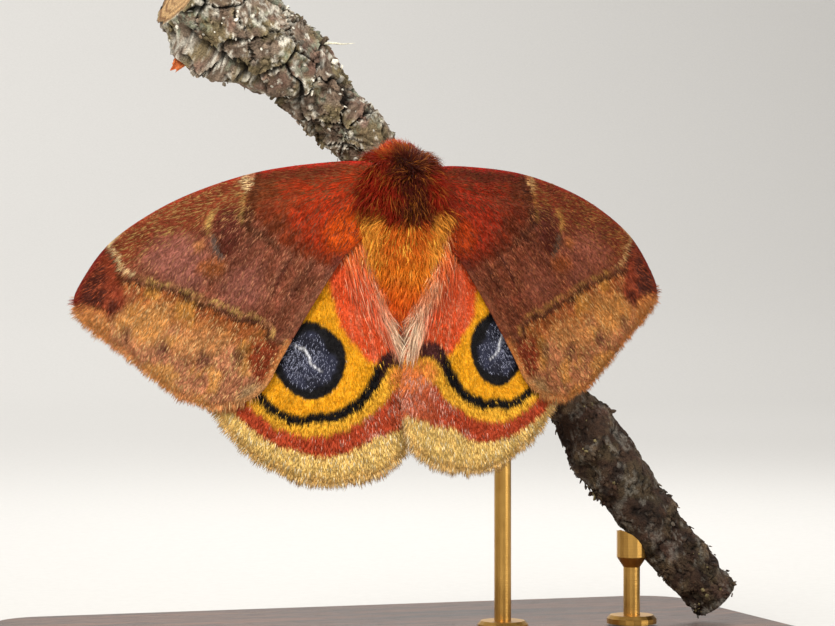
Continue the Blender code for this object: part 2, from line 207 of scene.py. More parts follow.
def plates(places, size, seed):
    """Distance to the edge of the cell that each place is in, and that cell's own random value."""
    scaled = places / size
    base = np.floor(scaled).astype(np.int64)
    nearest = np.full(len(places), 9.0)
    second = np.full(len(places), 9.0)
    value = np.zeros(len(places))
    for corner in np.ndindex(3, 3, 3):
        cells = base + np.array(corner) - 1
        middle = cells + np.stack([lattice_value(cells, seed + axis) for axis in range(3)], axis=1)
        reach = np.linalg.norm(scaled - middle, axis=1)
        closer = reach < nearest
        second = np.where(closer, nearest, np.minimum(second, reach))
        value = np.where(closer, lattice_value(cells, seed + 7), value)
        nearest = np.minimum(nearest, reach)
    return (second - nearest) * size, value


def lay(paint, colour, mask):
    """Brushes a colour over a paint where the mask lets it through."""
    return paint + (screen(colour) - paint) * mask[:, None]


def layered(paint, coats):
    """Brushes colours on in turn, each through its own mask."""
    for colour, mask in coats:
        paint = lay(paint, colour, mask)
    return paint


def plain(places, colour):
    """The same colour at every place."""
    return np.zeros((len(places), 3)) + screen(colour)


def new_piece(name, points, faces, finish=None, smooth=True):
    """A mesh object from points in mm."""
    mesh = bpy.data.meshes.new(name)
    mesh.from_pydata((np.asarray(points) * MM).tolist(), [], [tuple(map(int, face)) for face in faces])
    mesh.update()
    mesh.shade_smooth() if smooth else mesh.shade_flat()
    if finish:
        mesh.materials.append(finish)
    piece = bpy.data.objects.new(name, mesh)
    bpy.context.scene.collection.objects.link(piece)
    return piece


def note(piece, name, values, domain="POINT"):
    """Stores one number, vector or colour for each point of a piece, under a name."""
    values = np.asarray(values, float)
    kinds = {1: "FLOAT", 3: "FLOAT_VECTOR", 4: "FLOAT_COLOR"}
    width = 1 if values.ndim == 1 else values.shape[1]
    mesh = piece.data
    found = mesh.attributes.get(name) or mesh.attributes.new(name, kinds[width], domain)
    field = {1: "value", 3: "vector", 4: "color"}[width]
    found.data.foreach_set(field, values.astype(np.float32).ravel())


def with_alpha(paint):
    return np.column_stack([paint, np.ones(len(paint))])


def tube_faces(rings, sides):
    """Faces between rings of points, with both ends capped."""
    faces = []
    for ring in range(rings - 1):
        for side in range(sides):
            here, beside = ring * sides + side, ring * sides + (side + 1) % sides
            faces.append((here, beside, beside + sides, here + sides))
    faces.append(tuple(reversed(range(sides))))
    faces.append(tuple(range((rings - 1) * sides, rings * sides)))
    return faces


def twig_frame(share):
    """Centre, heading, the direction towards the moth, the third direction and radius."""
    line = smooth_curve(TWIG, TWIG_STEPS)
    last = TWIG_STEPS - 1
    index = int(round(share * last))
    ahead = unit(line[min(index + 2, last), :3] - line[max(index - 2, 0), :3])
    third = unit(np.cross(ahead, (0.0, -1.0, 0.0)))
    return line[index, :3], ahead, np.cross(third, ahead), third, line[index, 3]


def bark_relief(places, share):
    """Height of the bark over the twig's even surface, and its crack and plate values."""
    plated = 1 - fade(share, PLATED_TO - 0.10, PLATED_TO + 0.04)
    lean = places + 1.6 * np.stack([cloud(places, 2.4, seed) for seed in (1, 2, 3)], axis=1)
    lean += 0.5 * np.stack([cloud(places, 0.7, seed) for seed in (4, 5, 6)], axis=1)
    edge, level = plates(lean, 4.3, 11)
    crack = (1 - fade(edge, 0.05, 0.34)) * fade(rough_cloud(places, 3.0, 15), 0.25, 0.4)
    small_edge = plates(lean, 1.2, 21)[0]
    scale_crack = (1 - fade(small_edge, 0.02, 0.24)) * fade(rough_cloud(places, 1.4, 25), 0.45, 0.6)
    grit = rough_cloud(places, 0.55, 31)
    plate = 0.9 * level - crack - 0.3 * scale_crack + 0.45 * grit + 0.3 * rough_cloud(places, 1.6, 35)
    plate += 0.35 * (1 - fade(edge, 0.3, 1.1))
    ring = cloud(np.stack([share * 60, share * 0], axis=1) + 0.35 * places[:, :2], 1.0, 45)
    knob = rough_cloud(places, 2.6, 41) + 0.7 * ring - 0.3 * scale_crack + 0.3 * grit
    relief = plated * (plate - 0.65) + (1 - plated) * (knob - 1.0)
    # The dark value is painted shade: it blackens the bark in the cracks, where shade falls.
    dark = np.maximum(crack * plated, scale_crack * 0.55)
    return relief, plated, dark, level, edge


row = np.concatenate([np.zeros(CUT_RINGS, int), np.arange(TWIG_RINGS), np.full(CUT_RINGS, TWIG_RINGS - 1)])
inward_share = np.linspace(0.02, 0.95, CUT_RINGS)
cut_share = np.concatenate([inward_share, np.ones(TWIG_RINGS), inward_share[::-1]])
line = smooth_curve(TWIG, TWIG_RINGS)
heading = unit(np.gradient(line[:, :3], axis=0))
third = unit(np.cross(heading, (0.0, -1.0, 0.0)))
towards = np.cross(third, heading)
line, heading, third, towards = line[row], heading[row], third[row], towards[row]
turn = np.linspace(0, 2 * math.pi, TWIG_SIDES, endpoint=False)
outward = (np.cos(turn)[None, :, None] * towards[:, None] + np.sin(turn)[None, :, None] * third[:, None])
share = np.repeat(row / (TWIG_RINGS - 1), TWIG_SIDES)
even = (line[:, None, :3] + line[:, None, 3:] * outward).reshape(-1, 3)
outward = outward.reshape(-1, 3)
relief, plated, crack, level, edge = bark_relief(even, share)
# A long slab stands off the low side of the thick part, with a slit above it that is painted black as shade.
off_slit = (np.tile(turn, len(row)) - math.radians(SLIT_ANGLE)) * np.repeat(line[:, 3], TWIG_SIDES)
slab_start = fade(share, 0.012, 0.03)
along_slab = slab_start * (1 - fade(share, 0.12, 0.145))
slit = (1 - fade(abs(off_slit + 0.5 * cloud(even, 1.2, 83) - 0.25), 0.15, 0.45)) * along_slab
relief += along_slab * (0.7 * fade(off_slit, 0.4, 0.9) * (1 - fade(off_slit, 2.2, 3.2)) - 1.2 * slit)
relief += 1.4 * slab_start * (1 - fade(share, 0.07, 0.11)) * (1 - fade(abs(off_slit - 2.6), 0.8, 2.2))
crack = np.maximum(crack, slit)
held = np.min([abs(even[:, 0] - x) for x in ROD_XS], axis=0)
relief = np.where(held < ROD_REACH, np.minimum(relief, 0.0), relief)
relief *= 0.4 + 0.6 * fade(np.minimum(share, 1 - share), 0.0, 0.01)
ragged_rim = fade(rough_cloud(even, 0.35, 67), 0.38, 0.56)
white = np.maximum(fade(rough_cloud(even, 1.0, 65), 0.6, 0.66),
                   (1 - fade(edge, 0.35, 0.85)) * fade(rough_cloud(even, 2.2, 66), 0.48, 0.56))
slab_white = 0.8 * along_slab * fade(off_slit, 0.2, 0.8) * fade(rough_cloud(even, 0.7, 64), 0.48, 0.56)
white = np.maximum(white, slab_white)
# Painted highlight: the tops of the lower part's knobs, where the relief stands high, are painted pale as if
# lit.
knob_highlight = (1 - plated) * fade(relief, -0.2, 0.7) * fade(rough_cloud(even, 0.8, 91), 0.46, 0.6)
paint = layered(plain(even, BARK_BROWN), [
    (BARK_DARK, (1 - plated) * 0.8 * fade(rough_cloud(even, 1.5, 49), 0.5, 0.65)),
    (BARK_GREY, plated * (0.7 + 0.3 * level)),
    (BARK_BROWN, plated * 0.55 * fade(rough_cloud(even, 0.8, 47), 0.5, 0.62)),
    (BARK_PINK, (0.25 + 0.2 * plated) * fade(rough_cloud(even, 3.1, 51), 0.54, 0.68)),
    (BARK_OLIVE, (0.25 + 0.5 * plated) * fade(rough_cloud(even, 2.3, 55), 0.48, 0.62)),
    (LICHEN_MINT, plated * 0.6 * ragged_rim * fade(rough_cloud(even, 2.4, 61), 0.57, 0.68)),
    (LICHEN_WHITE, (0.25 + 0.65 * plated) * ragged_rim * white),
    (KNOB_HIGHLIGHT, 0.6 * knob_highlight),
    (CRACK_SHADE, np.clip(crack * 1.1, 0, 0.95))])
# Painted shade: the lower half of the twig is darkened by up to a half towards its lower end.
paint *= (1 - 0.5 * fade(share, 0.4, 0.6))[:, None]
paint *= (0.45 + 1.1 * rough_cloud(even, 0.4, 69))[:, None]
cut_at = np.repeat(cut_share, TWIG_SIDES)
sawn = 1 - fade(cut_at, 0.93, 0.97)
growth = cut_at * 4.5 + 0.15 * cloud(even, 2.0, 71)
paint = layered(paint, [(BARE_WOOD, sawn), (RING_BROWN, sawn * fade(np.abs(growth % 1 - 0.5), 0.3, 0.5))])
centres = np.repeat(line[:, :3], TWIG_SIDES, axis=0)
places = centres + (even + outward * relief[:, None] - centres) * cut_at[:, None]

finish, tree, shader = new_finish("weathered bark", {"Roughness": 0.88, "Specular IOR Level": 0.25})
bark_tint = place(tree, "ShaderNodeAttribute", attribute_name="paint").outputs["Color"]
fleck = stretched_noise(tree, (5200.0, 5200.0, 5200.0), 5.0)
fleck_range = place(tree, "ShaderNodeMapRange", {"Value": fleck, "From Min": 0.3, "From Max": 0.7,
                                                "To Min": 0.62, "To Max": 1.45})
colour = blend_colours(tree, 1.0, bark_tint, fleck_range.outputs["Result"], "MULTIPLY")
tree.links.new(colour, shader.inputs["Base Color"])
dented(tree, shader, fleck, 0.0003)

perch = new_piece("twig", places, tube_faces(len(row), TWIG_SIDES), finish)
perch.data.set_sharp_from_angle(angle=math.radians(50))
note(perch, "paint", with_alpha(paint))
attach(perch, "root")
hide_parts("perch")

# Loose scales of bark and crumbs of lichen lie all over the twig. Each is a thin chip stuck on by its
# root end; on the thick part they are pale crusts, further down they are brown flakes between the knobs.
BAKE_PATCH = 0.003                     # width of one small piece on the unwrap that its colours are baked to


def laid_tree():
    """Lays copies of a small piece over a skin, along its 'lie', coloured by its 'paint'."""
    tree = bpy.data.node_groups.new("pieces laid over a skin", "GeometryNodeTree")
    sockets = (("Skin", "Geometry"), ("Piece", "Object"), ("Spacing", "Float"), ("Length", "Float"),
               ("Length spread", "Float"), ("Lift", "Float"), ("Lift spread", "Float"), ("Stray", "Float"),
               ("Wave", "Float"), ("Wave size", "Float"), ("Clump", "Float"), ("Clump size", "Float"),
               ("Shade spread", "Float"), ("Seed", "Int"), ("Finish", "Material"))
    for name, kind in sockets:
        tree.interface.new_socket(name, in_out="INPUT", socket_type="NodeSocket" + kind)
    tree.interface.new_socket("Pieces", in_out="OUTPUT", socket_type="NodeSocketGeometry")
    given = tree.nodes.new("NodeGroupInput").outputs

    def named(name, kind="FLOAT"):
        return place(tree, "GeometryNodeInputNamedAttribute", {"Name": name},
                     data_type=kind).outputs["Attribute"]

    def sums(operation, first, second):
        return place(tree, "ShaderNodeMath", {0: first, 1: second}, operation=operation).outputs[0]

    def vectors(operation, inputs):
        return place(tree, "ShaderNodeVectorMath", inputs, operation=operation).outputs[0]

    def chance(low, high, draw):
        seed = sums("ADD", given["Seed"], draw)
        return place(tree, "FunctionNodeRandomValue", {2: low, 3: high, "Seed": seed},
                     data_type="FLOAT").outputs[1]

    def keep(geometry, name, value, kind="FLOAT_COLOR", domain="POINT"):
        stored = place(tree, "GeometryNodeStoreNamedAttribute",
                       {"Geometry": geometry, "Name": name, "Value": value}, data_type=kind, domain=domain)
        return stored.outputs["Geometry"]

    most = sums("DIVIDE", 3.0, sums("MULTIPLY", given["Spacing"], given["Spacing"]))
    spread = place(tree, "GeometryNodeDistributePointsOnFaces",
                   {"Mesh": given["Skin"], "Distance Min": given["Spacing"], "Density Max": most,
                    "Density Factor": named("cover"), "Seed": given["Seed"]}, distribute_method="POISSON")
    minus_stray = sums("MULTIPLY", given["Stray"], -1.0)
    stray = place(tree, "FunctionNodeRandomValue", {0: minus_stray, 1: given["Stray"], "Seed": given["Seed"]},
                  data_type="FLOAT_VECTOR").outputs[0]
    rise = sums("ADD", given["Lift"], sums("MULTIPLY", given["Lift spread"], chance(-1.0, 1.0, 1)))
    upward = vectors("SCALE", {0: spread.outputs["Normal"], "Scale": rise})
    ahead = vectors("ADD", {0: vectors("ADD", {0: named("lie", "FLOAT_VECTOR"), 1: stray}), 1: upward})
    turned = place(tree, "FunctionNodeAxesToRotation",
                   {"Primary Axis": ahead, "Secondary Axis": spread.outputs["Normal"]},
                   primary_axis="X", secondary_axis="Z").outputs["Rotation"]
    longer = sums("ADD", 1.0, sums("MULTIPLY", given["Length spread"], chance(-1.0, 1.0, 2)))
    size = sums("MULTIPLY", sums("MULTIPLY", given["Length"], named("reach")), longer)
    picked = sums("LESS_THAN", chance(0.0, 1.0, 3), named("accent_share"))
    tint = blend_colours(tree, picked, named("paint", "FLOAT_COLOR"), named("accent", "FLOAT_COLOR"))
    shade = sums("ADD", 1.0, sums("MULTIPLY", given["Shade spread"], chance(-1.0, 1.0, 4)))
    points = keep(spread.outputs["Points"], "tint", vectors("SCALE", {0: tint, "Scale": shade}))
    spot = tree.nodes.new("GeometryNodeInputPosition").outputs[0]
    points = keep(points, "root", spot, "FLOAT_VECTOR")
    source = place(tree, "GeometryNodeObjectInfo", {"Object": given["Piece"]}, transform_space="ORIGINAL")
    laid = place(tree, "GeometryNodeInstanceOnPoints",
                 {"Points": points, "Instance": source.outputs["Geometry"], "Rotation": turned,
                  "Scale": size})
    real = place(tree, "GeometryNodeRealizeInstances", {"Geometry": laid.outputs[0]}).outputs[0]
    root = named("root", "FLOAT_VECTOR")
    tipward = sums("MULTIPLY", named("along"), named("along"))
    swirl = place(tree, "ShaderNodeTexNoise",
                  {"Vector": root, "Scale": sums("DIVIDE", 1.0, given["Wave size"]),
                   "Detail": 1.0}).outputs["Color"]
    sway = vectors("SCALE", {0: vectors("SUBTRACT", {0: swirl, 1: (0.5, 0.5, 0.5)}),
                             "Scale": sums("MULTIPLY", tipward, given["Wave"])})
    middle = place(tree, "ShaderNodeTexVoronoi",
                   {"Vector": root, "Scale": sums("DIVIDE", 1.0, given["Clump size"])})
    pull = vectors("SCALE", {0: vectors("SUBTRACT", {0: middle.outputs["Position"], 1: root}),
                             "Scale": sums("MULTIPLY", tipward, given["Clump"])})
    moved = place(tree, "GeometryNodeSetPosition",
                  {"Geometry": real, "Offset": vectors("ADD", {0: sway, 1: pull})})
    patch = vectors("SCALE", {0: named("patch", "FLOAT_VECTOR"), "Scale": BAKE_PATCH})
    baked = keep(moved.outputs[0], "OFBake", vectors("ADD", {0: named("root_uv", "FLOAT_VECTOR"), 1: patch}),
                 "FLOAT2", "CORNER")
    dressed = place(tree, "GeometryNodeSetMaterial", {"Geometry": baked, "Material": given["Finish"]})
    result = tree.nodes.new("NodeGroupOutput")
    tree.links.new(dressed.outputs[0], result.inputs["Pieces"])
    return tree


LAID = laid_tree()


def run_tree(name, start, tree, settings):
    """Runs a tree on a mesh, its inputs given by name, and keeps the result as a plain mesh."""
    carrier = bpy.data.objects.new(name + "_carrier", start)
    bpy.context.scene.collection.objects.link(carrier)
    step = carrier.modifiers.new("made", "NODES")
    step.node_group = tree
    for item in tree.interface.items_tree:
        if item.in_out == "INPUT" and item.name in settings:
            step[item.identifier] = settings[item.name]
    graph = bpy.context.evaluated_depsgraph_get()
    mesh = bpy.data.meshes.new_from_object(carrier.evaluated_get(graph), preserve_all_data_layers=True,
                                           depsgraph=graph)
    bpy.data.objects.remove(carrier, do_unlink=True)
    mesh.name = name
    made = bpy.data.objects.new(name, mesh)
    bpy.context.scene.collection.objects.link(made)
    return made


def forget(piece, *names):
    """Removes stored values that only the trees needed."""
    for name in names:
        if name in piece.data.attributes:
            piece.data.attributes.remove(piece.data.attributes[name])


def lay_pieces(name, skin, piece, finish, seed, **values):
    """Lays copies of a piece over a skin and keeps them as a mesh of their own."""
    settings = {"Length spread": 0.3, "Lift": 0.1, "Lift spread": 0.1, "Stray": 0.15, "Wave": 0.0,
                "Wave size": 0.001, "Clump": 0.0, "Clump size": 0.001, "Shade spread": 0.25,
                **{key.replace("_", " "): value for key, value in values.items()},
                "Piece": piece, "Finish": finish, "Seed": seed}
    laid = run_tree(name, skin.data, LAID, settings)
    forget(laid, "paint", "accent", "accent_share", "cover", "reach", "lie", "root", "root_uv", "patch")
    return laid


def small_piece(name, points, faces):
    """A piece one unit long, to be laid by the tree: it lies along +X with its root at zero."""
    points = np.asarray(points, float)
    piece = new_piece(name, points / MM, faces)
    note(piece, "along", np.clip(points[:, 0], 0, 1))
    across = np.clip(points[:, 1] / 0.3, -0.5, 0.5)
    note(piece, "patch", np.column_stack([points[:, 0] - 0.5, across, 0 * across]))
    bpy.context.scene.collection.objects.unlink(piece)
    return piece


def tuft(name, slimness, bend, rings):
    """A closed three-sided spike that bends up and over; slimness is its width for its length."""
    points = []
    for step in range(rings):
        share = step / rings
        half = slimness * (1 - 0.75 * share) / 2
        rise = bend * math.sin(math.pi * share)
        for angle in (90, 210, 330):
            points.append((share, 2 * half * math.cos(math.radians(angle)),
                           rise + half * (0.4 + math.sin(math.radians(angle)))))
    points.append((1.0, 0.0, 0.0))
    faces = [(2, 1, 0)]
    for step in range(rings - 1):
        for side in range(3):
            here, beside = 3 * step + side, 3 * step + (side + 1) % 3
            faces.append((here, beside, beside + 3, here + 3))
    last = 3 * (rings - 1)
    faces += [(last + side, last + (side + 1) % 3, last + 3) for side in range(3)]
    return small_piece(name, points, faces)


def chip(name, seed):
    """A thin curled flake with a ragged rim."""
    rng = np.random.default_rng(seed)
    rim = []
    for step, angle in enumerate(np.linspace(0, 2 * math.pi, 9, endpoint=False)):
        reach = 0.5 * (0.75 + 0.5 * rng.random())
        rim.append((0.5 + reach * math.cos(angle), 0.8 * reach * math.sin(angle), 0.12 * rng.random()))
    rim = np.array(rim)
    top = rim + (0, 0, 0.09)
    middle = np.array([(0.5, 0, 0.2), (0.5, 0, 0.0)])
    points = np.vstack([rim, top, middle])
    faces = []
    for step in range(9):
        beside = (step + 1) % 9
        faces += [(step, beside, beside + 9, step + 9), (step + 9, beside + 9, 18), (beside, step, 19)]
    return small_piece(name, points, faces)


def chip_finish():
    """Bark and lichen chips: the laid tint with fine flecks over it."""
    finish, tree, shader = new_finish("bark chips", {"Roughness": 0.9, "Specular IOR Level": 0.2})
    tint = place(tree, "ShaderNodeAttribute", attribute_name="tint").outputs["Color"]
    fleck = stretched_noise(tree, (6400.0, 6400.0, 6400.0), 3.0)
    light = place(tree, "ShaderNodeMapRange", {"Value": fleck, "From Min": 0.3, "From Max": 0.7,
                                              "To Min": 0.6, "To Max": 1.3})
    tree.links.new(blend_colours(tree, 1.0, tint, light.outputs["Result"], "MULTIPLY"),
                   shader.inputs["Base Color"])
    dented(tree, shader, fleck, 0.0001)
    return finish


def read(items, field, width, kind):
    """One field of a mesh's items, a row for each item."""
    values = np.zeros(len(items) * width, dtype=kind)
    items.foreach_get(field, values)
    return values.reshape(-1, width) if width > 1 else values


def corner_values(piece):
    """Each face corner's point and face, and each face's first corner."""
    counts = read(piece.data.polygons, "loop_total", 1, np.int32)
    corner_point = read(piece.data.loops, "vertex_index", 1, np.int32)
    return corner_point, np.repeat(np.arange(len(counts)), counts), np.cumsum(counts) - counts


around = np.tile(turn, len(row)) / (2 * math.pi)
perch_uv = np.column_stack([around, share, 0 * share])
corner_point, corner_face, face_start = corner_values(perch)
corner_uv = perch_uv[corner_point]
wraps = np.zeros(len(face_start), dtype=bool)
np.logical_or.at(wraps, corner_face, corner_uv[:, 0] > 0.9)
corner_uv[:, 0] += (wraps[corner_face] & (corner_uv[:, 0] < 0.1))
corner_uv[:, 0] *= 0.98
note(perch, "root_uv", corner_uv, "CORNER")
note(perch, "lie", np.repeat(heading, TWIG_SIDES, axis=0))
note(perch, "reach", 0.6 + 0.8 * cloud(even, 2.0, 81))
crust = fade(rough_cloud(even, 2.2, 85), 0.52, 0.62)
note(perch, "cover", (0.02 + (0.5 - 0.3 * plated) * crust) * fade(held, 2.5, 3.5) * (cut_at == 1))
accent = np.where(plated[:, None] > 0.5, screen(LICHEN_WHITE), screen(BARK_OLIVE))
note(perch, "accent", with_alpha(accent))
note(perch, "accent_share", 0.10 + 0.08 * plated * crust)
flakes = lay_pieces("twig_flakes", perch, chip("bark_chip", 5), chip_finish(), 3, Spacing=0.00028,
                    Length=0.00045, Length_spread=0.6, Lift=0.2, Lift_spread=0.25, Stray=0.9,
                    Shade_spread=0.4)
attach(flakes, "root")

# Two things stand off the thick part: a curled flake of orange inner bark on its low side and a thin
# dry splinter on its high side. Both are rooted in the bark.
FLAKE_ORANGE, SPLINTER_PALE = (214, 118, 66), (232, 228, 204)


def tube(path, radii, sides):
    """Points and faces of a closed tapering tube."""
    ahead = unit(np.gradient(path, axis=0))
    across = unit(np.cross(ahead, (0.31, 0.17, 0.93)))
    above = np.cross(across, ahead)
    angle = np.linspace(0, 2 * math.pi, sides, endpoint=False)
    ring = -np.cos(angle)[None, :, None] * across[:, None] + np.sin(angle)[None, :, None] * above[:, None]
    return (path[:, None] + radii[:, None, None] * ring).reshape(-1, 3), tube_faces(len(path), sides)


def joined(parts):
    """Points and faces of several meshes as one mesh's."""
    points, faces = [], []
    for more_points, more_faces in parts:
        start = sum(len(group) for group in points)
        points.append(more_points)
        faces += [tuple(start + corner for corner in face) for face in more_faces]
    return np.vstack(points), faces


def ragged_flake(root, ahead, facing, long, wide):
    """A closed, curled sheet with a ragged tip, its root at a point of the bark."""
    side = unit(np.cross(facing, ahead))
    points = []
    for layer in (0.0, 0.12):
        for step in np.linspace(0, 1, 12):
            for across in np.linspace(-0.5, 0.5, 9):
                ragged = 0.88 + 0.12 * math.sin(9 * across + 2)
                reach = long * step * (ragged if step > 0.6 else 1.0)
                bend = 0.35 * long * step**2 + 0.5 * wide * across**2 - layer
                spot = root + reach * ahead + wide * across * (1 - 0.45 * step) * side
                points.append(spot + bend * facing)
    faces = []
    for row_at in range(11):
        for column in range(8):
            here = 9 * row_at + column
            faces.append((here, here + 9, here + 10, here + 1))
            faces.append((here + 108, here + 109, here + 118, here + 117))
    rim = list(range(9)) + [9 * row_at + 8 for row_at in range(1, 12)] + list(range(106, 98, -1))
    rim += [9 * row_at for row_at in range(10, 0, -1)]
    for here, beside in zip(rim, rim[1:] + rim[:1]):
        faces.append((here, beside, beside + 108, here + 108))
    return points, faces


def on_bark(share_at, degrees):
    """A point on the bark and the way it faces, at a place along and round the twig."""
    centre, ahead, towards, third, radius = twig_frame(share_at)
    angle = math.radians(degrees)
    facing = math.cos(angle) * towards + math.sin(angle) * third
    return centre + (radius - 0.5) * facing, facing, ahead


bark_chips = chip_finish()
spot, facing, ahead = on_bark(0.04, 84)
points, faces = ragged_flake(spot + 2.0 * facing, unit(facing - 0.35 * ahead), np.array([0.2, -1.0, 0.1]),
                             2.9, 1.7)
flake = new_piece("bark_flake", points, faces, bark_chips)
note(flake, "tint", np.tile((*screen(FLAKE_ORANGE), 1.0), (len(points), 1)))
spot, facing, ahead = on_bark(0.165, -84)
way = unit(0.5 * facing + 0.9 * ahead + (0.4, 0, 0.35))
needle = smooth_curve([spot, spot + 1.6 * way, spot + 2.9 * way + (0, -0.2, -0.25),
                       spot + 4.4 * way + (0, -0.3, -0.3)], 20)
points, faces = tube(needle, 0.22 * (1 - np.linspace(0, 0.93, 20)), 8)
splinter = new_piece("bark_splinter", points, faces, bark_chips)
note(splinter, "tint", np.tile((*screen(SPLINTER_PALE), 1.0), (len(points), 1)))
for piece in (flake, splinter):
    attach(piece, "root")

# The moth's four wings: two thin horny membranes with veins between them, stiffened by the veins and
# hinged in the side of the thorax. Each skin is one closed sheet whose root lies under the body's coat.
MOTH_AT = np.array([-6.0, -13.0, 56.3])
HANDS = (("left", -1), ("right", 1))
FOREWING = [(-1.0, 1.4), (0.0, 2.6), (4.3, 2.6), (11.8, 1.6), (18.5, -0.4), (23.9, -2.9), (28.8, -6.3),
            (31.8, -10.1), (33.2, -13.5), (31.3, -16.2), (27.6, -18.9), (24.1, -21.8), (20.7, -24.1),
            (17.2, -25.2), (14.0, -24.6), (11.4, -22.8), (9.5, -19.4), (6.0, -13.4), (2.6, -8.2),
            (-1.0, -4.2)]
HINDWING = [(-1.0, -2.2), (2.0, -1.9), (7.5, -4.6), (14.2, -9.6), (19.0, -16.2), (19.4, -21.0), (17.2, -25.2),
            (14.2, -29.5), (9.8, -32.3), (5.0, -33.8), (0.8, -33.3), (-3.0, -31.8), (-5.2, -29.6),
            (-5.7, -24.2), (-4.7, -18.9), (-2.6, -13.8), (-1.0, -9.0), (-0.6, -5.6)]
ROOT_HALF = 4.0
FORE_DEPTH, HIND_DEPTH = -1.0, -0.1
LEFT_LEAN, LEFT_BOW, LEFT_TUCK = 15.0, 0.005, 0.073
RIGHT_LEAN, RIGHT_BOW = 17.0, 0.0033
RIGHT_SWEEP, RIGHT_FORE_DROP, RIGHT_HIND_DROP, HIND_PIVOT = 3.7, -0.5, 0.8, -3.8
GRID = 0.25                            # mm between the skin's points
FRINGE, BARE_RIM = 0.5, 0.12           # how far the coat stands past the membrane, with a fringe and without
MEMBRANE = 0.24                        # its thickness between the veins
FORE_VEINS = [[(0, 1.6), (12, 0.7), (22, -3.4), (29.5, -8.5)], [(0, 0.2), (14, -2.0), (18, -4.2), (31, -11)],
              [(16.5, -4.4), (24, -8.6), (32.2, -14)], [(16.8, -6.2), (23, -11.5), (29, -18)],
              [(0, -0.6), (9, -4.6), (16, -8.2), (21.5, -15), (25, -21)],
              [(11, -5.8), (15.5, -11.5), (20.5, -24)], [(8, -4.4), (11.5, -11), (16.3, -25)],
              [(0, -1.6), (5, -7.5), (9, -14), (12.6, -23.5)], [(16.4, -3.6), (17.4, -5.2), (16.6, -7.6)]]
HIND_VEINS = [[(0, -3), (8, -6.5), (15, -11.5), (19, -18)],
              [(0, -4), (7.5, -9.5), (12.5, -14.5), (18.6, -22.5)],
              [(7.5, -9.5), (11, -16), (15.2, -28)], [(0, -4.6), (4.2, -11), (8.6, -18.5), (11.3, -31)],
              [(3.8, -10.4), (5.4, -18), (5.8, -33.2)], [(0, -5), (0.8, -14), (0.4, -24), (0.6, -33)],
              [(-1, -7), (-2.6, -16), (-3.2, -31)]]


def wing_surface(flat, side, depth, lean, bow, tuck):
    """Points, front-facing normals and outward directions of the bowed sheet at flat places."""
    span, height = flat[:, 0], flat[:, 1]
    lean = math.radians(lean)
    outward = np.maximum(span, 0.0)
    inward = np.minimum(span, 0.0)
    across = (np.sin(lean + bow * outward) - math.sin(lean)) / bow + inward * math.cos(lean)
    back = (math.cos(lean) - np.cos(lean + bow * outward)) / bow + inward * math.sin(lean) + tuck * inward**2
    slope = lean + bow * outward + 2 * tuck * inward
    level = np.zeros_like(span)
    points = np.stack([side * (ROOT_HALF + across), depth + back, height], axis=1)
    normals = np.stack([side * np.sin(slope), -np.cos(slope), level], axis=1)
    spanwise = np.stack([side * np.cos(slope), np.sin(slope), level], axis=1)
    return MOTH_AT + points, normals, spanwise


def swing(flat, pivot_height, degrees, rise):
    """Turn flat places about the hinge, outward and up, and lift them."""
    angle = math.radians(degrees)
    span, height = flat[:, 0], flat[:, 1] - pivot_height
    turned = np.stack([span * math.cos(angle) - height * math.sin(angle),
                       span * math.sin(angle) + height * math.cos(angle)], axis=1)
    return turned + np.array([0.0, pivot_height + rise])


def nearest_on(flat, line):
    """Distance from each place to a line's nearest point, and which point that is."""
    gap = np.full(len(flat), 1e9)
    index = np.zeros(len(flat), dtype=int)
    for start in range(0, len(flat), 4000):
        gaps = np.linalg.norm(flat[start:start + 4000, None] - line[None], axis=2)
        index[start:start + 4000] = gaps.argmin(axis=1)
        gap[start:start + 4000] = gaps.min(axis=1)
    return gap, index


def inside(flat, loop):
    """Whether each place lies within a closed loop."""
    following = np.roll(loop, -1, axis=0)
    level = flat[:, 1][:, None]
    crossed = (loop[:, 1] > level) != (following[:, 1] > level)
    rise = following[:, 1] - loop[:, 1]
    share = (level - loop[:, 1]) / np.where(rise == 0, 1e-9, rise)
    meets = loop[:, 0] + share * (following[:, 0] - loop[:, 0])
    return (crossed & (flat[:, 0][:, None] < meets)).sum(axis=1) % 2 == 1


def patch(flat, outline, soft=0.4):
    """1 inside a rounded outline and 0 outside, over a soft rim."""
    loop = smooth_curve(outline, 12 * len(outline), closed=True)
    gap = nearest_on(flat, loop)[0]
    return fade(np.where(inside(flat, loop), gap, -gap), -soft, soft)


def stroke(flat, line, widths, soft=0.25):
    """1 on a line as wide as stated (one width, or one for each of its points), 0 off it."""
    count = 16 * len(line)
    gap, index = nearest_on(flat, smooth_curve(line, count))
    widths = np.interp(index / (count - 1), np.linspace(0, 1, np.size(widths)), np.atleast_1d(widths))
    return 1 - fade(gap, widths / 2 - soft / 2, widths / 2 + soft / 2)


def fringed(flat, away):
    """1 on the outer and rear margins, where the fringe grows, and 0 on the front and inner ones."""
    radial = unit(flat - (-2.0, -2.0))
    return fade((radial * away).sum(axis=1), 0.35, 0.7) * fade(-flat[:, 1], 12.0, 14.5)


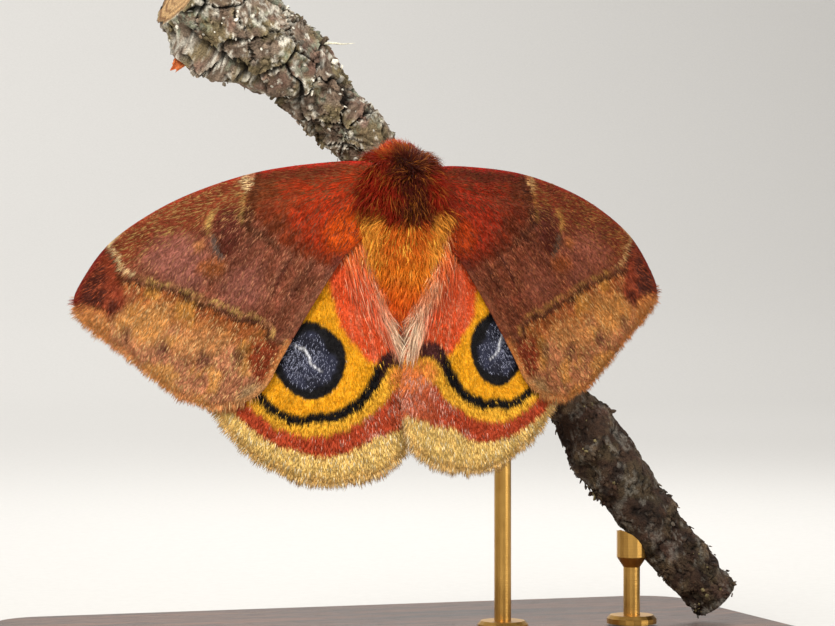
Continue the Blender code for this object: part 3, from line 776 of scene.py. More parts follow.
def wing_grid(outline):
    """Flat places over a wing, rim first, their triangles, and each place's distance from the rim."""
    edge = smooth_curve(outline, 460, closed=True)
    ahead = unit(np.roll(edge, -1, axis=0) - np.roll(edge, 1, axis=0))
    inward = np.stack([ahead[:, 1], -ahead[:, 0]], axis=1)
    inset = BARE_RIM + (FRINGE - BARE_RIM) * fringed(edge, -inward)
    edge = edge + inset[:, None] * inward
    low, high = edge.min(axis=0), edge.max(axis=0)
    rows = []
    for row, height in enumerate(np.arange(low[1], high[1], GRID * 0.866)):
        spans = np.arange(low[0] + (row % 2) * GRID / 2, high[0], GRID)
        rows.append(np.stack([spans, np.full_like(spans, height)], axis=1))
    places = np.vstack(rows)
    places = places[inside(places, edge)]
    gap = nearest_on(places, edge)[0]
    places = places[gap > 0.7 * GRID]
    flat = np.vstack([edge, places])
    rim = list(range(len(edge)))
    made = geometry.delaunay_2d_cdt([tuple(place) for place in flat], [], [rim], 1, 1e-7)
    flat = np.array([tuple(place) for place in made[0]])
    gap = nearest_on(flat, edge)[0]
    gap[:len(edge)] = 0
    return flat, np.array(made[2]), gap, len(edge)


def wing_skin(name, side, grid, veins, depth, pivot, rise, tuck, finish):
    """One wing's closed sheet. Its upper face comes first, then its underside without the shared rim."""
    flat, triangles, gap, rim = grid
    lean, bow, own = LEFT_LEAN, LEFT_BOW, flat
    if side > 0:
        lean, bow, own = RIGHT_LEAN, RIGHT_BOW, swing(flat, pivot, RIGHT_SWEEP, rise)
    middle, normal, spanwise = wing_surface(own, side, depth, lean, bow, tuck)
    vein_gap = np.min([nearest_on(flat, smooth_curve(vein, 90))[0] for vein in veins], axis=0)
    cells = fade(vein_gap, 0.1, 0.8)
    swell = 0.10 * cells + 0.22 * (rough_cloud(flat, 2.6, 91) - 0.5)
    rise_over = (MEMBRANE / 2 * fade(gap, 0, 0.6) + swell * fade(gap, 0, 1.5))
    fall_under = (MEMBRANE / 2 * fade(gap, 0, 0.6) + (0.12 * (1 - cells) - swell) * fade(gap, 0, 1.5))
    over = middle + normal * rise_over[:, None]
    under = (middle - normal * fall_under[:, None])[rim:]
    below = triangles + (triangles >= rim) * (len(flat) - rim)
    first = over[triangles[0]]
    if np.dot(np.cross(first[1] - first[0], first[2] - first[0]), normal[triangles[0][0]]) < 0:
        triangles = triangles[:, ::-1]
        below = below[:, ::-1]
    faces = np.vstack([triangles, below[:, ::-1]])
    skin = new_piece(name, np.vstack([over, under]), faces, finish)
    both = np.vstack([flat, flat[rim:]])
    is_upper = np.arange(len(both)) < len(flat)
    heads_out = np.vstack([spanwise, spanwise[rim:]])
    return skin, both, is_upper, np.concatenate([gap, gap[rim:]]), heads_out


def comb(skin, flat_lie, spanwise, swept):
    """Stores the coat's lie from flat directions."""
    angle = math.radians(RIGHT_SWEEP if swept else 0.0)
    across = flat_lie[:, 0] * math.cos(angle) - flat_lie[:, 1] * math.sin(angle)
    up = flat_lie[:, 0] * math.sin(angle) + flat_lie[:, 1] * math.cos(angle)
    note(skin, "lie", across[:, None] * spanwise + up[:, None] * np.array([0.0, 0.0, 1.0]))


# The forewings' markings. The scales are rosy brown, with an orange red root, a pale cream tick at the
# front edge, a dark cell spot, a jagged olive line with cream beside it, and a tan outer third.
BASAL_RED, BASAL_ORANGE, RED_BROWN, COSTA_RED = (210, 58, 12), (240, 100, 16), (160, 70, 36), (204, 44, 26)
MAUVE, LILAC, MAROON, PLUM = (154, 86, 62), (178, 112, 96), (104, 44, 32), (104, 52, 46)
CREAM, PALE_OLIVE, OLIVE, SLATE = (246, 214, 158), (214, 176, 98), (74, 38, 14), (122, 108, 98)
ORANGE_BROWN, OCHRE, GOLD_TAN, TAN_PINK = (182, 104, 52), (208, 138, 76), (228, 162, 90), (216, 146, 104)
APEX_RED, APEX_DARK, FRINGE_TAN, PALE_PINK = (146, 38, 24), (70, 28, 20), (224, 150, 84), (196, 132, 96)
DUSKY, TAWNY, CLAY, APEX_RUST = (112, 62, 34), (232, 172, 80), (150, 84, 58), (150, 58, 34)
BASAL_BROWN, ROOT_EDGE, ROOT_OLIVE = (150, 62, 28), (112, 34, 18), (116, 58, 22)
FOLD_SHADE, FOLD_HIGHLIGHT, TICK_DARK = (84, 32, 20), (206, 142, 112), (64, 34, 22)
FRONT_TIPS, OUTER_TIPS, APEX_TIPS, ROOT_TIPS = (186, 142, 82), (232, 186, 126), (176, 84, 50), (120, 40, 16)
COSTA = np.array([(0, 2.6), (4.3, 2.6), (11.8, 1.6), (18.5, -0.4), (23.9, -2.9), (28.8, -6.3), (31.8, -10.1),
                  (33.2, -13.5)])
OUTER_THIRD = [(30, -5.3), (28.0, -8.4), (27.3, -10.4), (24, -11.2), (20, -12.3), (16.9, -13.8),
               (14.2, -14.9), (11.6, -15.5), (10.6, -17.6), (8.6, -18), (9, -30), (36, -30), (37, -6)]
POST_LINE = [(28.6, -7.8), (27.9, -8.9), (27.4, -10.3), (25.6, -10.7), (23.8, -11.3), (22, -11.4),
             (20, -12.3), (18.4, -13.2), (16.9, -13.7), (15.6, -14.0), (14.2, -14.8), (12.8, -14.9),
             (11.4, -15.6), (10.8, -17.2), (9.0, -17.7)]
FOLD_LINES = [[(7.0, -6.0), (9.0, -8.9), (10.6, -12), (11.7, -14.2)], [(10, -4.3), (13, -6.4), (15.6, -9.2)],
              [(5.4, -8), (7.6, -11), (9.2, -14)], [(11.6, -15.8), (13.6, -18.6), (15, -20.4)]]
FOLD_DEPTHS = (0.9, 0.55, 0.55, 0.5)
FORE_SPOTS = ((14.2, -19.0), (18.0, -19.3), (22.6, -18.2), (26.8, -16.4))


def fore_paint(flat, gap):
    """Colour, second colour and the share of scales that have it, on a forewing's upper face."""
    ragged = flat + 0.5 * np.stack([cloud(flat, 0.8, 1), cloud(flat, 0.8, 2)], axis=1) - 0.25
    span, height = ragged.T
    below = np.interp(span, *COSTA.T) - height
    fan = np.stack([np.degrees(np.arctan2(height - 9, span + 5)), np.hypot(span, height) * 0.12], axis=1)
    streak = cloud(fan, 0.9, 3)
    beyond = patch(ragged, OUTER_THIRD, 0.25)
    post_gap = nearest_on(flat, smooth_curve(POST_LINE, 200))[0]
    apex = patch(ragged, [(28.6, -6.4), (31.8, -9.6), (33.6, -13.4), (31, -14.4), (28.4, -14.6), (26.8, -13),
                          (27.4, -10.4)], 0.5)
    basal = patch(ragged, [(-3, 4), (12.6, 2.5), (12.5, -3.2), (9.6, -6.2), (6.2, -8.2), (2.0, -8.8),
                           (-3, -6)],
                  0.5)
    share = 0.04 + 0.12 * rough_cloud(flat, 1.2, 4) + 0.14 * (1 - fade(below, 3, 6))
    share = share + 0.04 * beyond + 0.12 * basal
    other = layered(plain(flat, PALE_PINK), [(FRONT_TIPS, 1 - fade(below, 3, 6)), (OUTER_TIPS, beyond),
                                             (APEX_TIPS, apex), (ROOT_TIPS, 0.8 * basal)])
    paint = layered(plain(flat, MAUVE), [
        (DUSKY, 0.5 * fade(rough_cloud(ragged, 0.9, 8), 0.45, 0.6)),
        (RED_BROWN, 0.75 * (1 - fade(below, 2.5, 6))),
        (LILAC, 0.8 * patch(ragged, [(18.3, -6.4), (22, -5.6), (25, -8.2), (22.5, -10.2), (18.6, -11)], 1.2)),
        (LILAC, 0.55 * patch(ragged, [(12, -8.6), (16, -10.2), (16, -13), (12.2, -13)], 1.2)),
        (ORANGE_BROWN, beyond),
        (OCHRE, beyond * fade(post_gap + 2 * cloud(flat, 1.8, 5), 2.0, 4.0)),
        (TAN_PINK, beyond * fade(post_gap + 3 * cloud(flat, 2.2, 6), 4.6, 6.4)),
        (TAWNY, 0.6 * beyond * fade(rough_cloud(flat, 1.7, 9), 0.55, 0.66)),
        (CLAY, 0.5 * beyond * fade(rough_cloud(flat, 1.3, 10), 0.56, 0.68)),
        (APEX_RUST, 0.9 * apex),
        (GOLD_TAN, beyond * patch(ragged, [(22, -13.4), (27, -14), (27.5, -16.4), (23.4, -17.6)], 1.0)),
        (GOLD_TAN, beyond * 0.6 * patch(ragged, [(15.4, -16.6), (21, -16.4), (22, -18.6), (17, -18.8)], 1.0)),
        (BASAL_BROWN, basal),
        (BASAL_RED, 0.75 * patch(ragged, [(-2, 0.6), (6, 0.8), (9.6, -1), (8.4, -4.6), (5, -7.4), (-1, -6.6)],
                                 1.3)),
        (BASAL_ORANGE, 0.85 * patch(ragged, [(-1, -3), (2, -2.6), (4.6, -4.6), (3.8, -7), (-1, -6.6)], 1.1)),
        (ROOT_EDGE, 0.7 * basal * (1 - fade(below, 0.9, 2.2)) * fade(span, 2, 4)),
        (ROOT_OLIVE, 0.55 * basal * fade(span, 4, 9) * fade(rough_cloud(ragged, 1.0, 13), 0.45, 0.62)),
        (MAROON, 0.8 * patch(ragged, [(14.2, -2.5), (16.4, -2.9), (17.1, -5), (16.2, -7.8), (14.6, -7),
                                      (13.8, -4.6)], 0.5)),
        (PALE_OLIVE, 0.9 * stroke(ragged, [(17.1, -2.9), (17.7, -4.4), (17.5, -5.4)], (0.3, 0.55, 0.25))),
        (SLATE, 0.8 * stroke(ragged, [(17.3, -5.6), (16.8, -7.0), (16.3, -8.0)], (0.4, 0.75, 0.4), 0.35)),
        (ORANGE_BROWN, 0.85 * patch(ragged, [(15.8, -8.4), (18.4, -8.5), (18.6, -9.8), (16.4, -10)], 0.5)),
        (OCHRE, 0.7 * patch(ragged, [(18.2, -6), (19.2, -6.2), (19, -7.3), (18.1, -7.1)], 0.4)),
        (OLIVE, 0.75 * stroke(ragged, [(12.2, 1.6), (12.3, 0), (12.7, -2), (13.4, -3.9), (12.2, -5.3),
                                       (11.0, -5.9), (9.8, -6.6)], (0.5, 0.7, 0.9, 1.3, 0.8, 0.5, 0.3), 0.5)),
        (PALE_OLIVE, 0.6 * stroke(ragged, [(13.4, -0.8), (13.9, -2.6), (13.8, -4.2)], (0.5, 0.35, 0.2))),
        (CREAM, stroke(ragged, [(13.5, 1.7), (13.3, 0.6), (13.3, -0.8)], (1.5, 1.1, 0.3), 0.25))])
    # Painted shade and highlight of the wing's folds: a dark line along each fold and a pale one just beside
    # it.
    for fold, depth in zip(FOLD_LINES, FOLD_DEPTHS):
        paint = layered(paint, [
            (FOLD_SHADE, depth * stroke(flat, fold, (0.1, 0.5, 0.1), 0.6)),
            (FOLD_HIGHLIGHT, 0.4 * depth * stroke(flat + (-0.35, -0.35), fold, (0.1, 0.3, 0.1), 0.5))])
    upper_line = np.array(POST_LINE) + (-0.3, 0.55)
    glint = 0.3 + 0.7 * fade(cloud(flat, 0.9, 7), 0.3, 0.55)
    paint = layered(paint, [
        (OLIVE, 0.9 * stroke(ragged, POST_LINE, (0.35, 0.55, 0.5, 0.4), 0.3)),
        (PALE_OLIVE, 0.85 * glint * stroke(ragged, upper_line[2:-1], 0.4, 0.35)),
        (TICK_DARK, 0.8 * stroke(flat, [(29.4, -6.2), (28.9, -7.6), (28.0, -8.6), (27.6, -9.8)], 0.3, 0.3)),
        (CREAM, stroke(flat, [(28.0, -5.2), (28.9, -6.4), (28.4, -7.2), (27.7, -7.9), (27.3, -9.2),
                              (26.0, -9.8)],
                       (1.0, 0.75, 0.5, 0.5, 0.45, 0.3), 0.2)),
        (APEX_DARK, 0.85 * patch(ragged, [(29.2, -9), (30.8, -10), (32, -13.2), (30.3, -14), (29.2, -12)],
                                 0.5)),
        (APEX_DARK, 0.8 * patch(ragged, [(27.6, -12.8), (28.7, -12.8), (28.8, -14.2), (27.8, -14.2)], 0.35)),
        (APEX_RED, patch(ragged, [(29.6, -6.5), (31.9, -9.6), (33.6, -13.6), (32.5, -13.7), (31.2, -10.6),
                                  (29.6, -8.0)], 0.3)),
        (FRINGE_TAN, patch(ragged, [(29, -14.4), (31, -13.6), (34, -13.6), (33.5, -16), (29, -17)], 0.5))])
    for spot in FORE_SPOTS:
        ring = np.hypot(span - spot[0], (height - spot[1]) * 0.7)
        paint = lay(paint, PLUM, 0.7 * (1 - fade(ring, 0.35, 1.0)))
    margin = (1 - fade(gap, 0.3, 1.0)) * beyond
    paint = layered(paint, [
        (RED_BROWN, patch(ragged, [(9.8, -18), (12.2, -17.4), (13.3, -19), (12.3, -21.6), (11.2, -21.9)],
                          0.4)),
        (PLUM, 0.6 * stroke(ragged, [(3.2, -8.2), (4.4, -10), (7.4, -14.6), (9.6, -18.6)],
                            (1.0, 0.5, 0.3, 0.3), 0.6)),
        (PALE_PINK, 0.35 * stroke(ragged, [(4.2, -9.8), (6.8, -13.6), (9.6, -17.6)], (0.5, 0.9, 0.9), 0.8)),
        (CREAM, 0.6 * patch(ragged, [(11.4, -22), (13.4, -22.2), (14.6, -24), (12.4, -24)], 0.6)),
        (FRINGE_TAN, 0.7 * margin * fade(-height, 14.5, 16)),
        (COSTA_RED, (1 - fade(below, 0.25, 0.6)) * (1 - 0.5 * fade(span, 9, 14)) * (1 - fade(span, 27, 28)))])
    paint = paint * (0.78 + 0.44 * streak)[:, None] * (0.8 + 0.4 * cloud(flat, 0.3, 14))[:, None]
    return paint, other, share


# The hindwings' markings. Red near the body, then golden yellow round a black eyespot whose middle is
# dusted with blue white scales; a black line, a yellow band, a crimson band and a cream border.
RED, ORANGE, GOLD, BLACK, BLUE = (250, 98, 46), (255, 150, 76), (255, 180, 24), (10, 6, 8), (50, 52, 72)
YELLOW, CRIMSON, BUTTER, POWDER = (255, 192, 54), (202, 80, 44), (255, 216, 128), (186, 190, 214)
BAND_ORANGE, BORDER_TAN, EDGE_TAN = (226, 128, 84), (240, 192, 114), (196, 164, 118)
RED_STREAK, LINE_BROWN, DASH_WHITE, GOLD_TIPS = (226, 120, 84), (104, 52, 48), (250, 250, 255), (255, 196, 60)
BAND_TIPS, BORDER_TIPS, RED_TIPS = (232, 170, 148), (255, 238, 196), (244, 160, 116)
EYESPOT = [(6.2, -15.1), (4.3, -16.0), (2.7, -17.5), (2.2, -19.4), (2.9, -22.0), (4.4, -23.4), (6.1, -24.0),
           (8.0, -23.3), (9.4, -22.0), (10.3, -20.2), (9.8, -17.6), (8.3, -15.8)]
EYE_MIDDLE = [(6.4, -16.4), (4.9, -17.3), (4.4, -18.6), (3.2, -19.4), (3.8, -21.4), (5.4, -22.5),
              (7.2, -22.7), (8.6, -21.6), (9.3, -19.8), (8.6, -17.6)]
EYE_DASH = [(8.2, -17.6), (7.5, -18.1), (6.9, -18.3), (6.5, -18.9), (6.1, -19.9), (5.4, -20.5), (4.9, -20.9)]
DARK_LINE = [(10.4, -11.6), (12.6, -14.6), (13.6, -18.6), (13.0, -21.5), (11.9, -23.3), (10.8, -24.5),
             (9.2, -25.6), (7.3, -26.1), (5.6, -25.8), (4.0, -25.8), (2.4, -25.2), (0.9, -24.2),
             (-0.3, -22.7), (-1.1, -21.4), (-1.9, -19.9), (-3.0, -18.9), (-4.2, -18.7)]
BAND_TOP = [(11.2, -9.8), (14.6, -13.6), (15.6, -18.6), (14.8, -21.6), (13.4, -23.8), (12, -25.3),
            (10, -26.8), (7, -27.8), (4.3, -27.7), (2, -27.0), (0, -25.8), (-1.8, -24.4), (-3.2, -22.7),
            (-5.4, -21.2), (-9, -21)]
BAND_FOOT = [(-9, -27), (-5.5, -26.6), (-3.0, -27.5), (-1.0, -28.0), (1, -29.2), (3, -29.8), (5, -30),
             (8, -29.4), (11, -28.2), (13.5, -26.3), (15.2, -24.4), (16.8, -21.6), (17.4, -18.4),
             (16.2, -13.4), (12.4, -9.0)]


def hind_paint(flat, gap, shift):
    """The same for a hindwing, its markings moved outward by the shift."""
    ragged = flat + 0.36 * np.stack([cloud(flat, 0.45, 1), cloud(flat, 0.45, 2)], axis=1) - 0.18
    ragged[:, 0] -= shift
    span, height = ragged.T
    fine = flat - (shift, 0)
    fan = np.stack([np.degrees(np.arctan2(height + 1, span - 2.5)), np.hypot(span, height) * 0.1], axis=1)
    streak = cloud(fan, 1.1, 3)
    band = patch(ragged, BAND_TOP + BAND_FOOT, 0.2)
    beyond = patch(ragged, BAND_FOOT + [(14, -8), (24, -8), (24, -38), (-10, -38)], 0.2)
    below_line = patch(ragged, DARK_LINE + [(-9, -18.7), (-9, -38), (24, -38), (24, -9)], 0.2)
    inner = 1 - fade(span, -1.0, 4.5)
    red = patch(ragged, [(-9, 2), (2.6, -1), (4.6, -5), (4.3, -10), (3.5, -13.2), (2.8, -15.8), (1.3, -17.7),
                         (-0.5, -19.6), (-2.0, -19.2), (-4.4, -19.2), (-9, -18)], 0.45)
    dark = stroke(ragged, DARK_LINE, (0.8, 0.9, 1.0, 0.95, 1.05, 1.15, 1.3, 1.9), 0.25)
    spot = patch(fine + 0.3 * (ragged - fine), EYESPOT, 0.12)
    middle = patch(ragged, EYE_MIDDLE, 0.35)
    dusting = middle * (0.16 + 0.3 * fade(np.hypot(span - 7.4, height + 19.4), 3.2, 0.4))
    dash = stroke(fine + 0.2 * (ragged - fine), EYE_DASH, (0.1, 0.18, 0.24, 0.2, 0.16, 0.1), 0.1)
    paint = layered(plain(flat, GOLD), [
        (YELLOW, below_line),
        (CRIMSON, band),
        (BAND_ORANGE, band * 0.5 * (1 - fade(span, -5, -2))),
        (BUTTER, beyond),
        (BORDER_TAN, 0.8 * beyond * (1 - fade(gap + 0.8 * cloud(flat, 1.0, 12), 0.5, 1.8))),
        (EDGE_TAN, 0.7 * (1 - fade(gap, 0.0, 0.3)) * beyond),
        (RED, red),
        (ORANGE, 0.85 * red * patch(ragged, [(-2.5, -3), (1, -4), (1.0, -8.5), (-0.4, -12), (-2.6, -12)],
                                    1.0)),
        (RED_STREAK, 0.6 * red * fade(streak, 0.45, 0.7)),
        (ORANGE, 0.8 * patch(ragged, [(-9, -19.6), (-3.6, -20.2), (-2.6, -22), (-4.5, -23), (-9, -23)], 0.8)),
        (BLACK, dark),
        (LINE_BROWN, 0.75 * dark * (1 - fade(span, -3.0, -1.0))),
        (BLACK, spot),
        (BLUE, middle * (0.45 + 0.55 * fade(cloud(fine, 2.0, 21), 0.3, 0.7))),
        (DASH_WHITE, dash)])
    other = layered(plain(flat, GOLD_TIPS), [(BAND_TIPS, band), (BORDER_TIPS, beyond), (RED_TIPS, red)])
    other = np.where(spot[:, None] > 0.5, screen(POWDER), other)
    other = np.where(dash[:, None] > 0.4, 1.0, other)
    share = np.full(len(flat), 0.1)
    for there, amount in ((band, 0.03 + 0.3 * inner * fade(rough_cloud(flat, 1.4, 11), 0.35, 0.6)),
                          (red, 0.05 + 0.4 * (1 - fade(span, -3.2, 2.0)) * fade(streak, 0.2, 0.7)),
                          (dark, 0.02), (spot, dusting), (dash, 0.6)):
        share = np.where(there > 0.5, amount, share)
    paint = paint * (0.88 + 0.24 * streak)[:, None]
    return paint, other, share


# The undersides, plainer: the forewing pinkish tan with a black spot and a dark line, the hindwing
# rosy tan with a thin line and one white dot.
UNDER_TAN, UNDER_ROSE, UNDER_LINE = (206, 140, 88), (190, 118, 92), (120, 56, 44)
UNDER_TIPS, PUPIL_GREY, DOT_WHITE = (240, 206, 176), (186, 182, 196), (244, 236, 226)
UNDER_HIND_LINE = [(16, -15), (14.5, -21.5), (11, -25.5), (6, -27.6), (1, -27), (-4, -24.6)]
FORE_DOT, HIND_DOT = (15.6, -5.6), (6.4, -17.4)
FORE_RINGS = ((BLACK, 1.3, 1.5), (PUPIL_GREY, 0.35, 0.6))          # each ring's colour and soft rim
HIND_RINGS = ((UNDER_LINE, 0.55, 0.75), (DOT_WHITE, 0.25, 0.4))


def under_paint(flat, gap, fore):
    """Colour, second colour and its share on an underside."""
    ragged = flat + 0.5 * np.stack([cloud(flat, 0.8, 31), cloud(flat, 0.8, 32)], axis=1) - 0.25
    ground, cloudy = (UNDER_TAN, UNDER_ROSE) if fore else (UNDER_ROSE, UNDER_TAN)
    across, up = (flat - (FORE_DOT if fore else HIND_DOT)).T
    dot = np.hypot(across, up * 0.85)
    rings = FORE_RINGS if fore else HIND_RINGS
    paint = layered(plain(flat, ground), [
        (cloudy, 0.7 * fade(rough_cloud(flat, 4.0, 33), 0.4, 0.65)),
        (UNDER_LINE, 0.85 * stroke(ragged, POST_LINE if fore else UNDER_HIND_LINE, 0.6, 0.4)),
        *[(colour, 1 - fade(dot, low, high)) for colour, low, high in rings],
        (FRINGE_TAN, 0.6 * (1 - fade(gap, 0.2, 1.2)))])
    other = plain(flat, UNDER_TIPS)
    return paint, other, np.full(len(flat), 0.15)


def fibre_group():
    """The look of combed scales: painted shade that darkens each hair towards its root, painted light that
    brightens its tip, and a fine uneven grain.
    """
    group = bpy.data.node_groups.new("combed scales", "ShaderNodeTree")
    for name, kind in (("Tint", "Color"), ("Along", "Float"), ("Root", "Float"), ("Tip", "Float")):
        group.interface.new_socket(name, in_out="INPUT", socket_type="NodeSocket" + kind)
    for name, kind in (("Colour", "Color"), ("Roughness", "Float")):
        group.interface.new_socket(name, in_out="OUTPUT", socket_type="NodeSocket" + kind)
    given = group.nodes.new("NodeGroupInput").outputs
    light = place(group, "ShaderNodeMapRange", {"Value": given["Along"], "To Min": given["Root"],
                                               "To Max": given["Tip"]})
    grain = stretched_noise(group, (9000.0, 9000.0, 9000.0), 2.0)
    uneven = place(group, "ShaderNodeMapRange", {"Value": grain, "From Min": 0.3, "From Max": 0.7,
                                                "To Min": 0.86, "To Max": 1.14})
    lit = blend_colours(group, 1.0, given["Tint"], light.outputs["Result"], "MULTIPLY")
    result = group.nodes.new("NodeGroupOutput")
    colour = blend_colours(group, 1.0, lit, uneven.outputs["Result"], "MULTIPLY")
    group.links.new(colour, result.inputs["Colour"])
    rough = place(group, "ShaderNodeMapRange", {"Value": grain, "To Min": 0.42, "To Max": 0.72})
    group.links.new(rough.outputs["Result"], result.inputs["Roughness"])
    return group


COMBED = fibre_group()


def coat_finish(name, root, tip, values, attribute="tint"):
    """A coat's material: each hair takes its own tint, darkened towards its root by painted shade and
    lightened at its tip by painted light.
    """
    finish, tree, shader = new_finish(name, values)
    tint = place(tree, "ShaderNodeAttribute", attribute_name=attribute).outputs["Color"]
    along = place(tree, "ShaderNodeAttribute", attribute_name="along").outputs["Fac"]
    group = place(tree, "ShaderNodeGroup", node_tree=COMBED)
    tree.links.new(tint, group.inputs["Tint"])
    tree.links.new(along, group.inputs["Along"])
    group.inputs["Root"].default_value = root
    group.inputs["Tip"].default_value = tip
    tree.links.new(group.outputs["Colour"], shader.inputs["Base Color"])
    tree.links.new(group.outputs["Roughness"], shader.inputs["Roughness"])
    return finish, tree, shader


SCALE_LOOK = {"Specular IOR Level": 0.2}
scale_finish = coat_finish("powdery wing scales", 0.72, 1.12, SCALE_LOOK)[0]
skin_finish, tree, shader = coat_finish("scaled wing skin", 0.62, 1.0, SCALE_LOOK, "paint")
dented(tree, shader, stretched_noise(tree, (7000.0, 7000.0, 3500.0), 3.0), 0.00012)
scale = tuft("wing_scale", 0.105, 0.03, 1)
plume = tuft("fringe_scale", 0.06, 0.05, 2)
stream_hair = tuft("stream_hair", 0.024, 0.05, 2)
WING_UV = 44.0                         # mm across the wings' flat unwrap
# The front edge again, with fewer points, for the lie of the scales.
PLAIN_COSTA = np.array([(0, 2.6), (12, 1.6), (18.5, -0.4), (24, -2.9), (29, -6.3), (33, -13)])
RIGHT_PAINTED_SHADE, RIGHT_TAN_PAINTED_SHADE = (0.72, 0.56, 0.42), (0.82, 0.74, 0.62)    # painted shade: the right forewing is painted darker and browner
RIGHT_SPOT_SHIFT = 1.7                 # how far outward the right hindwing's markings lie


def lie_fore(flat):
    """The forewing's scales run outward near the front edge and turn down towards the rear margin."""
    turned = fade(np.interp(flat[:, 0], *PLAIN_COSTA.T) - flat[:, 1], 0.0, 8.0)[:, None]
    spread = unit(flat - (-1.0, 0.8))
    return unit(spread * (1 - turned) + unit(np.array([0.44, -0.9])) * turned)


def lie_hind(flat):
    return unit(flat - (2.6, 0.5))


# Long pale hairs stream down each hindwing beside the abdomen and meet below its tip.
STREAMS = [(-1.4, -3.4), (2.0, -4.4), (2.8, -8), (1.4, -12), (-0.8, -15), (-3.0, -17.6), (-4.8, -18.4),
           (-4.9, -17), (-3.0, -13), (-1.6, -9)]
INNER_EDGE = [(-0.6, -5.6), (-1.0, -9.0), (-2.6, -13.8), (-4.7, -18.9), (-5.7, -24.2)]
STREAM_ORANGE, STREAM_WARM, STREAM_TIPS = (248, 108, 62), (255, 146, 72), (255, 202, 162)
STREAM_SALMON, STREAM_PALE = (255, 182, 136), (250, 222, 188)
COVERED = [(0, -2), (8, -4), (15, -9), (19, -16), (18, -20), (12.5, -16), (7, -10), (3, -5)]
SHARP_SCALES = [(2, -13), (11, -13.4), (12.5, -20), (10, -25.5), (3, -26), (0.4, -20)]


def stream_paint(flat):
    """Orange near the hinge, salmon further down, and a pale grey strand along the inner edge."""
    height = flat[:, 1]
    inner = 1 - fade(nearest_on(flat, smooth_curve(INNER_EDGE, 90))[0], 0.5, 1.7)
    paint = layered(plain(flat, STREAM_ORANGE), [
        (STREAM_WARM, 0.8 * (1 - fade(-height, 6, 10))),
        (STREAM_SALMON, inner * (1 - 0.5 * fade(-height, 4, 6))),
        (STREAM_PALE, inner * fade(-height, 12, 15.5))])
    return paint, lay(paint, STREAM_TIPS, np.full(len(flat), 0.6)), 0.2 + 0.25 * inner


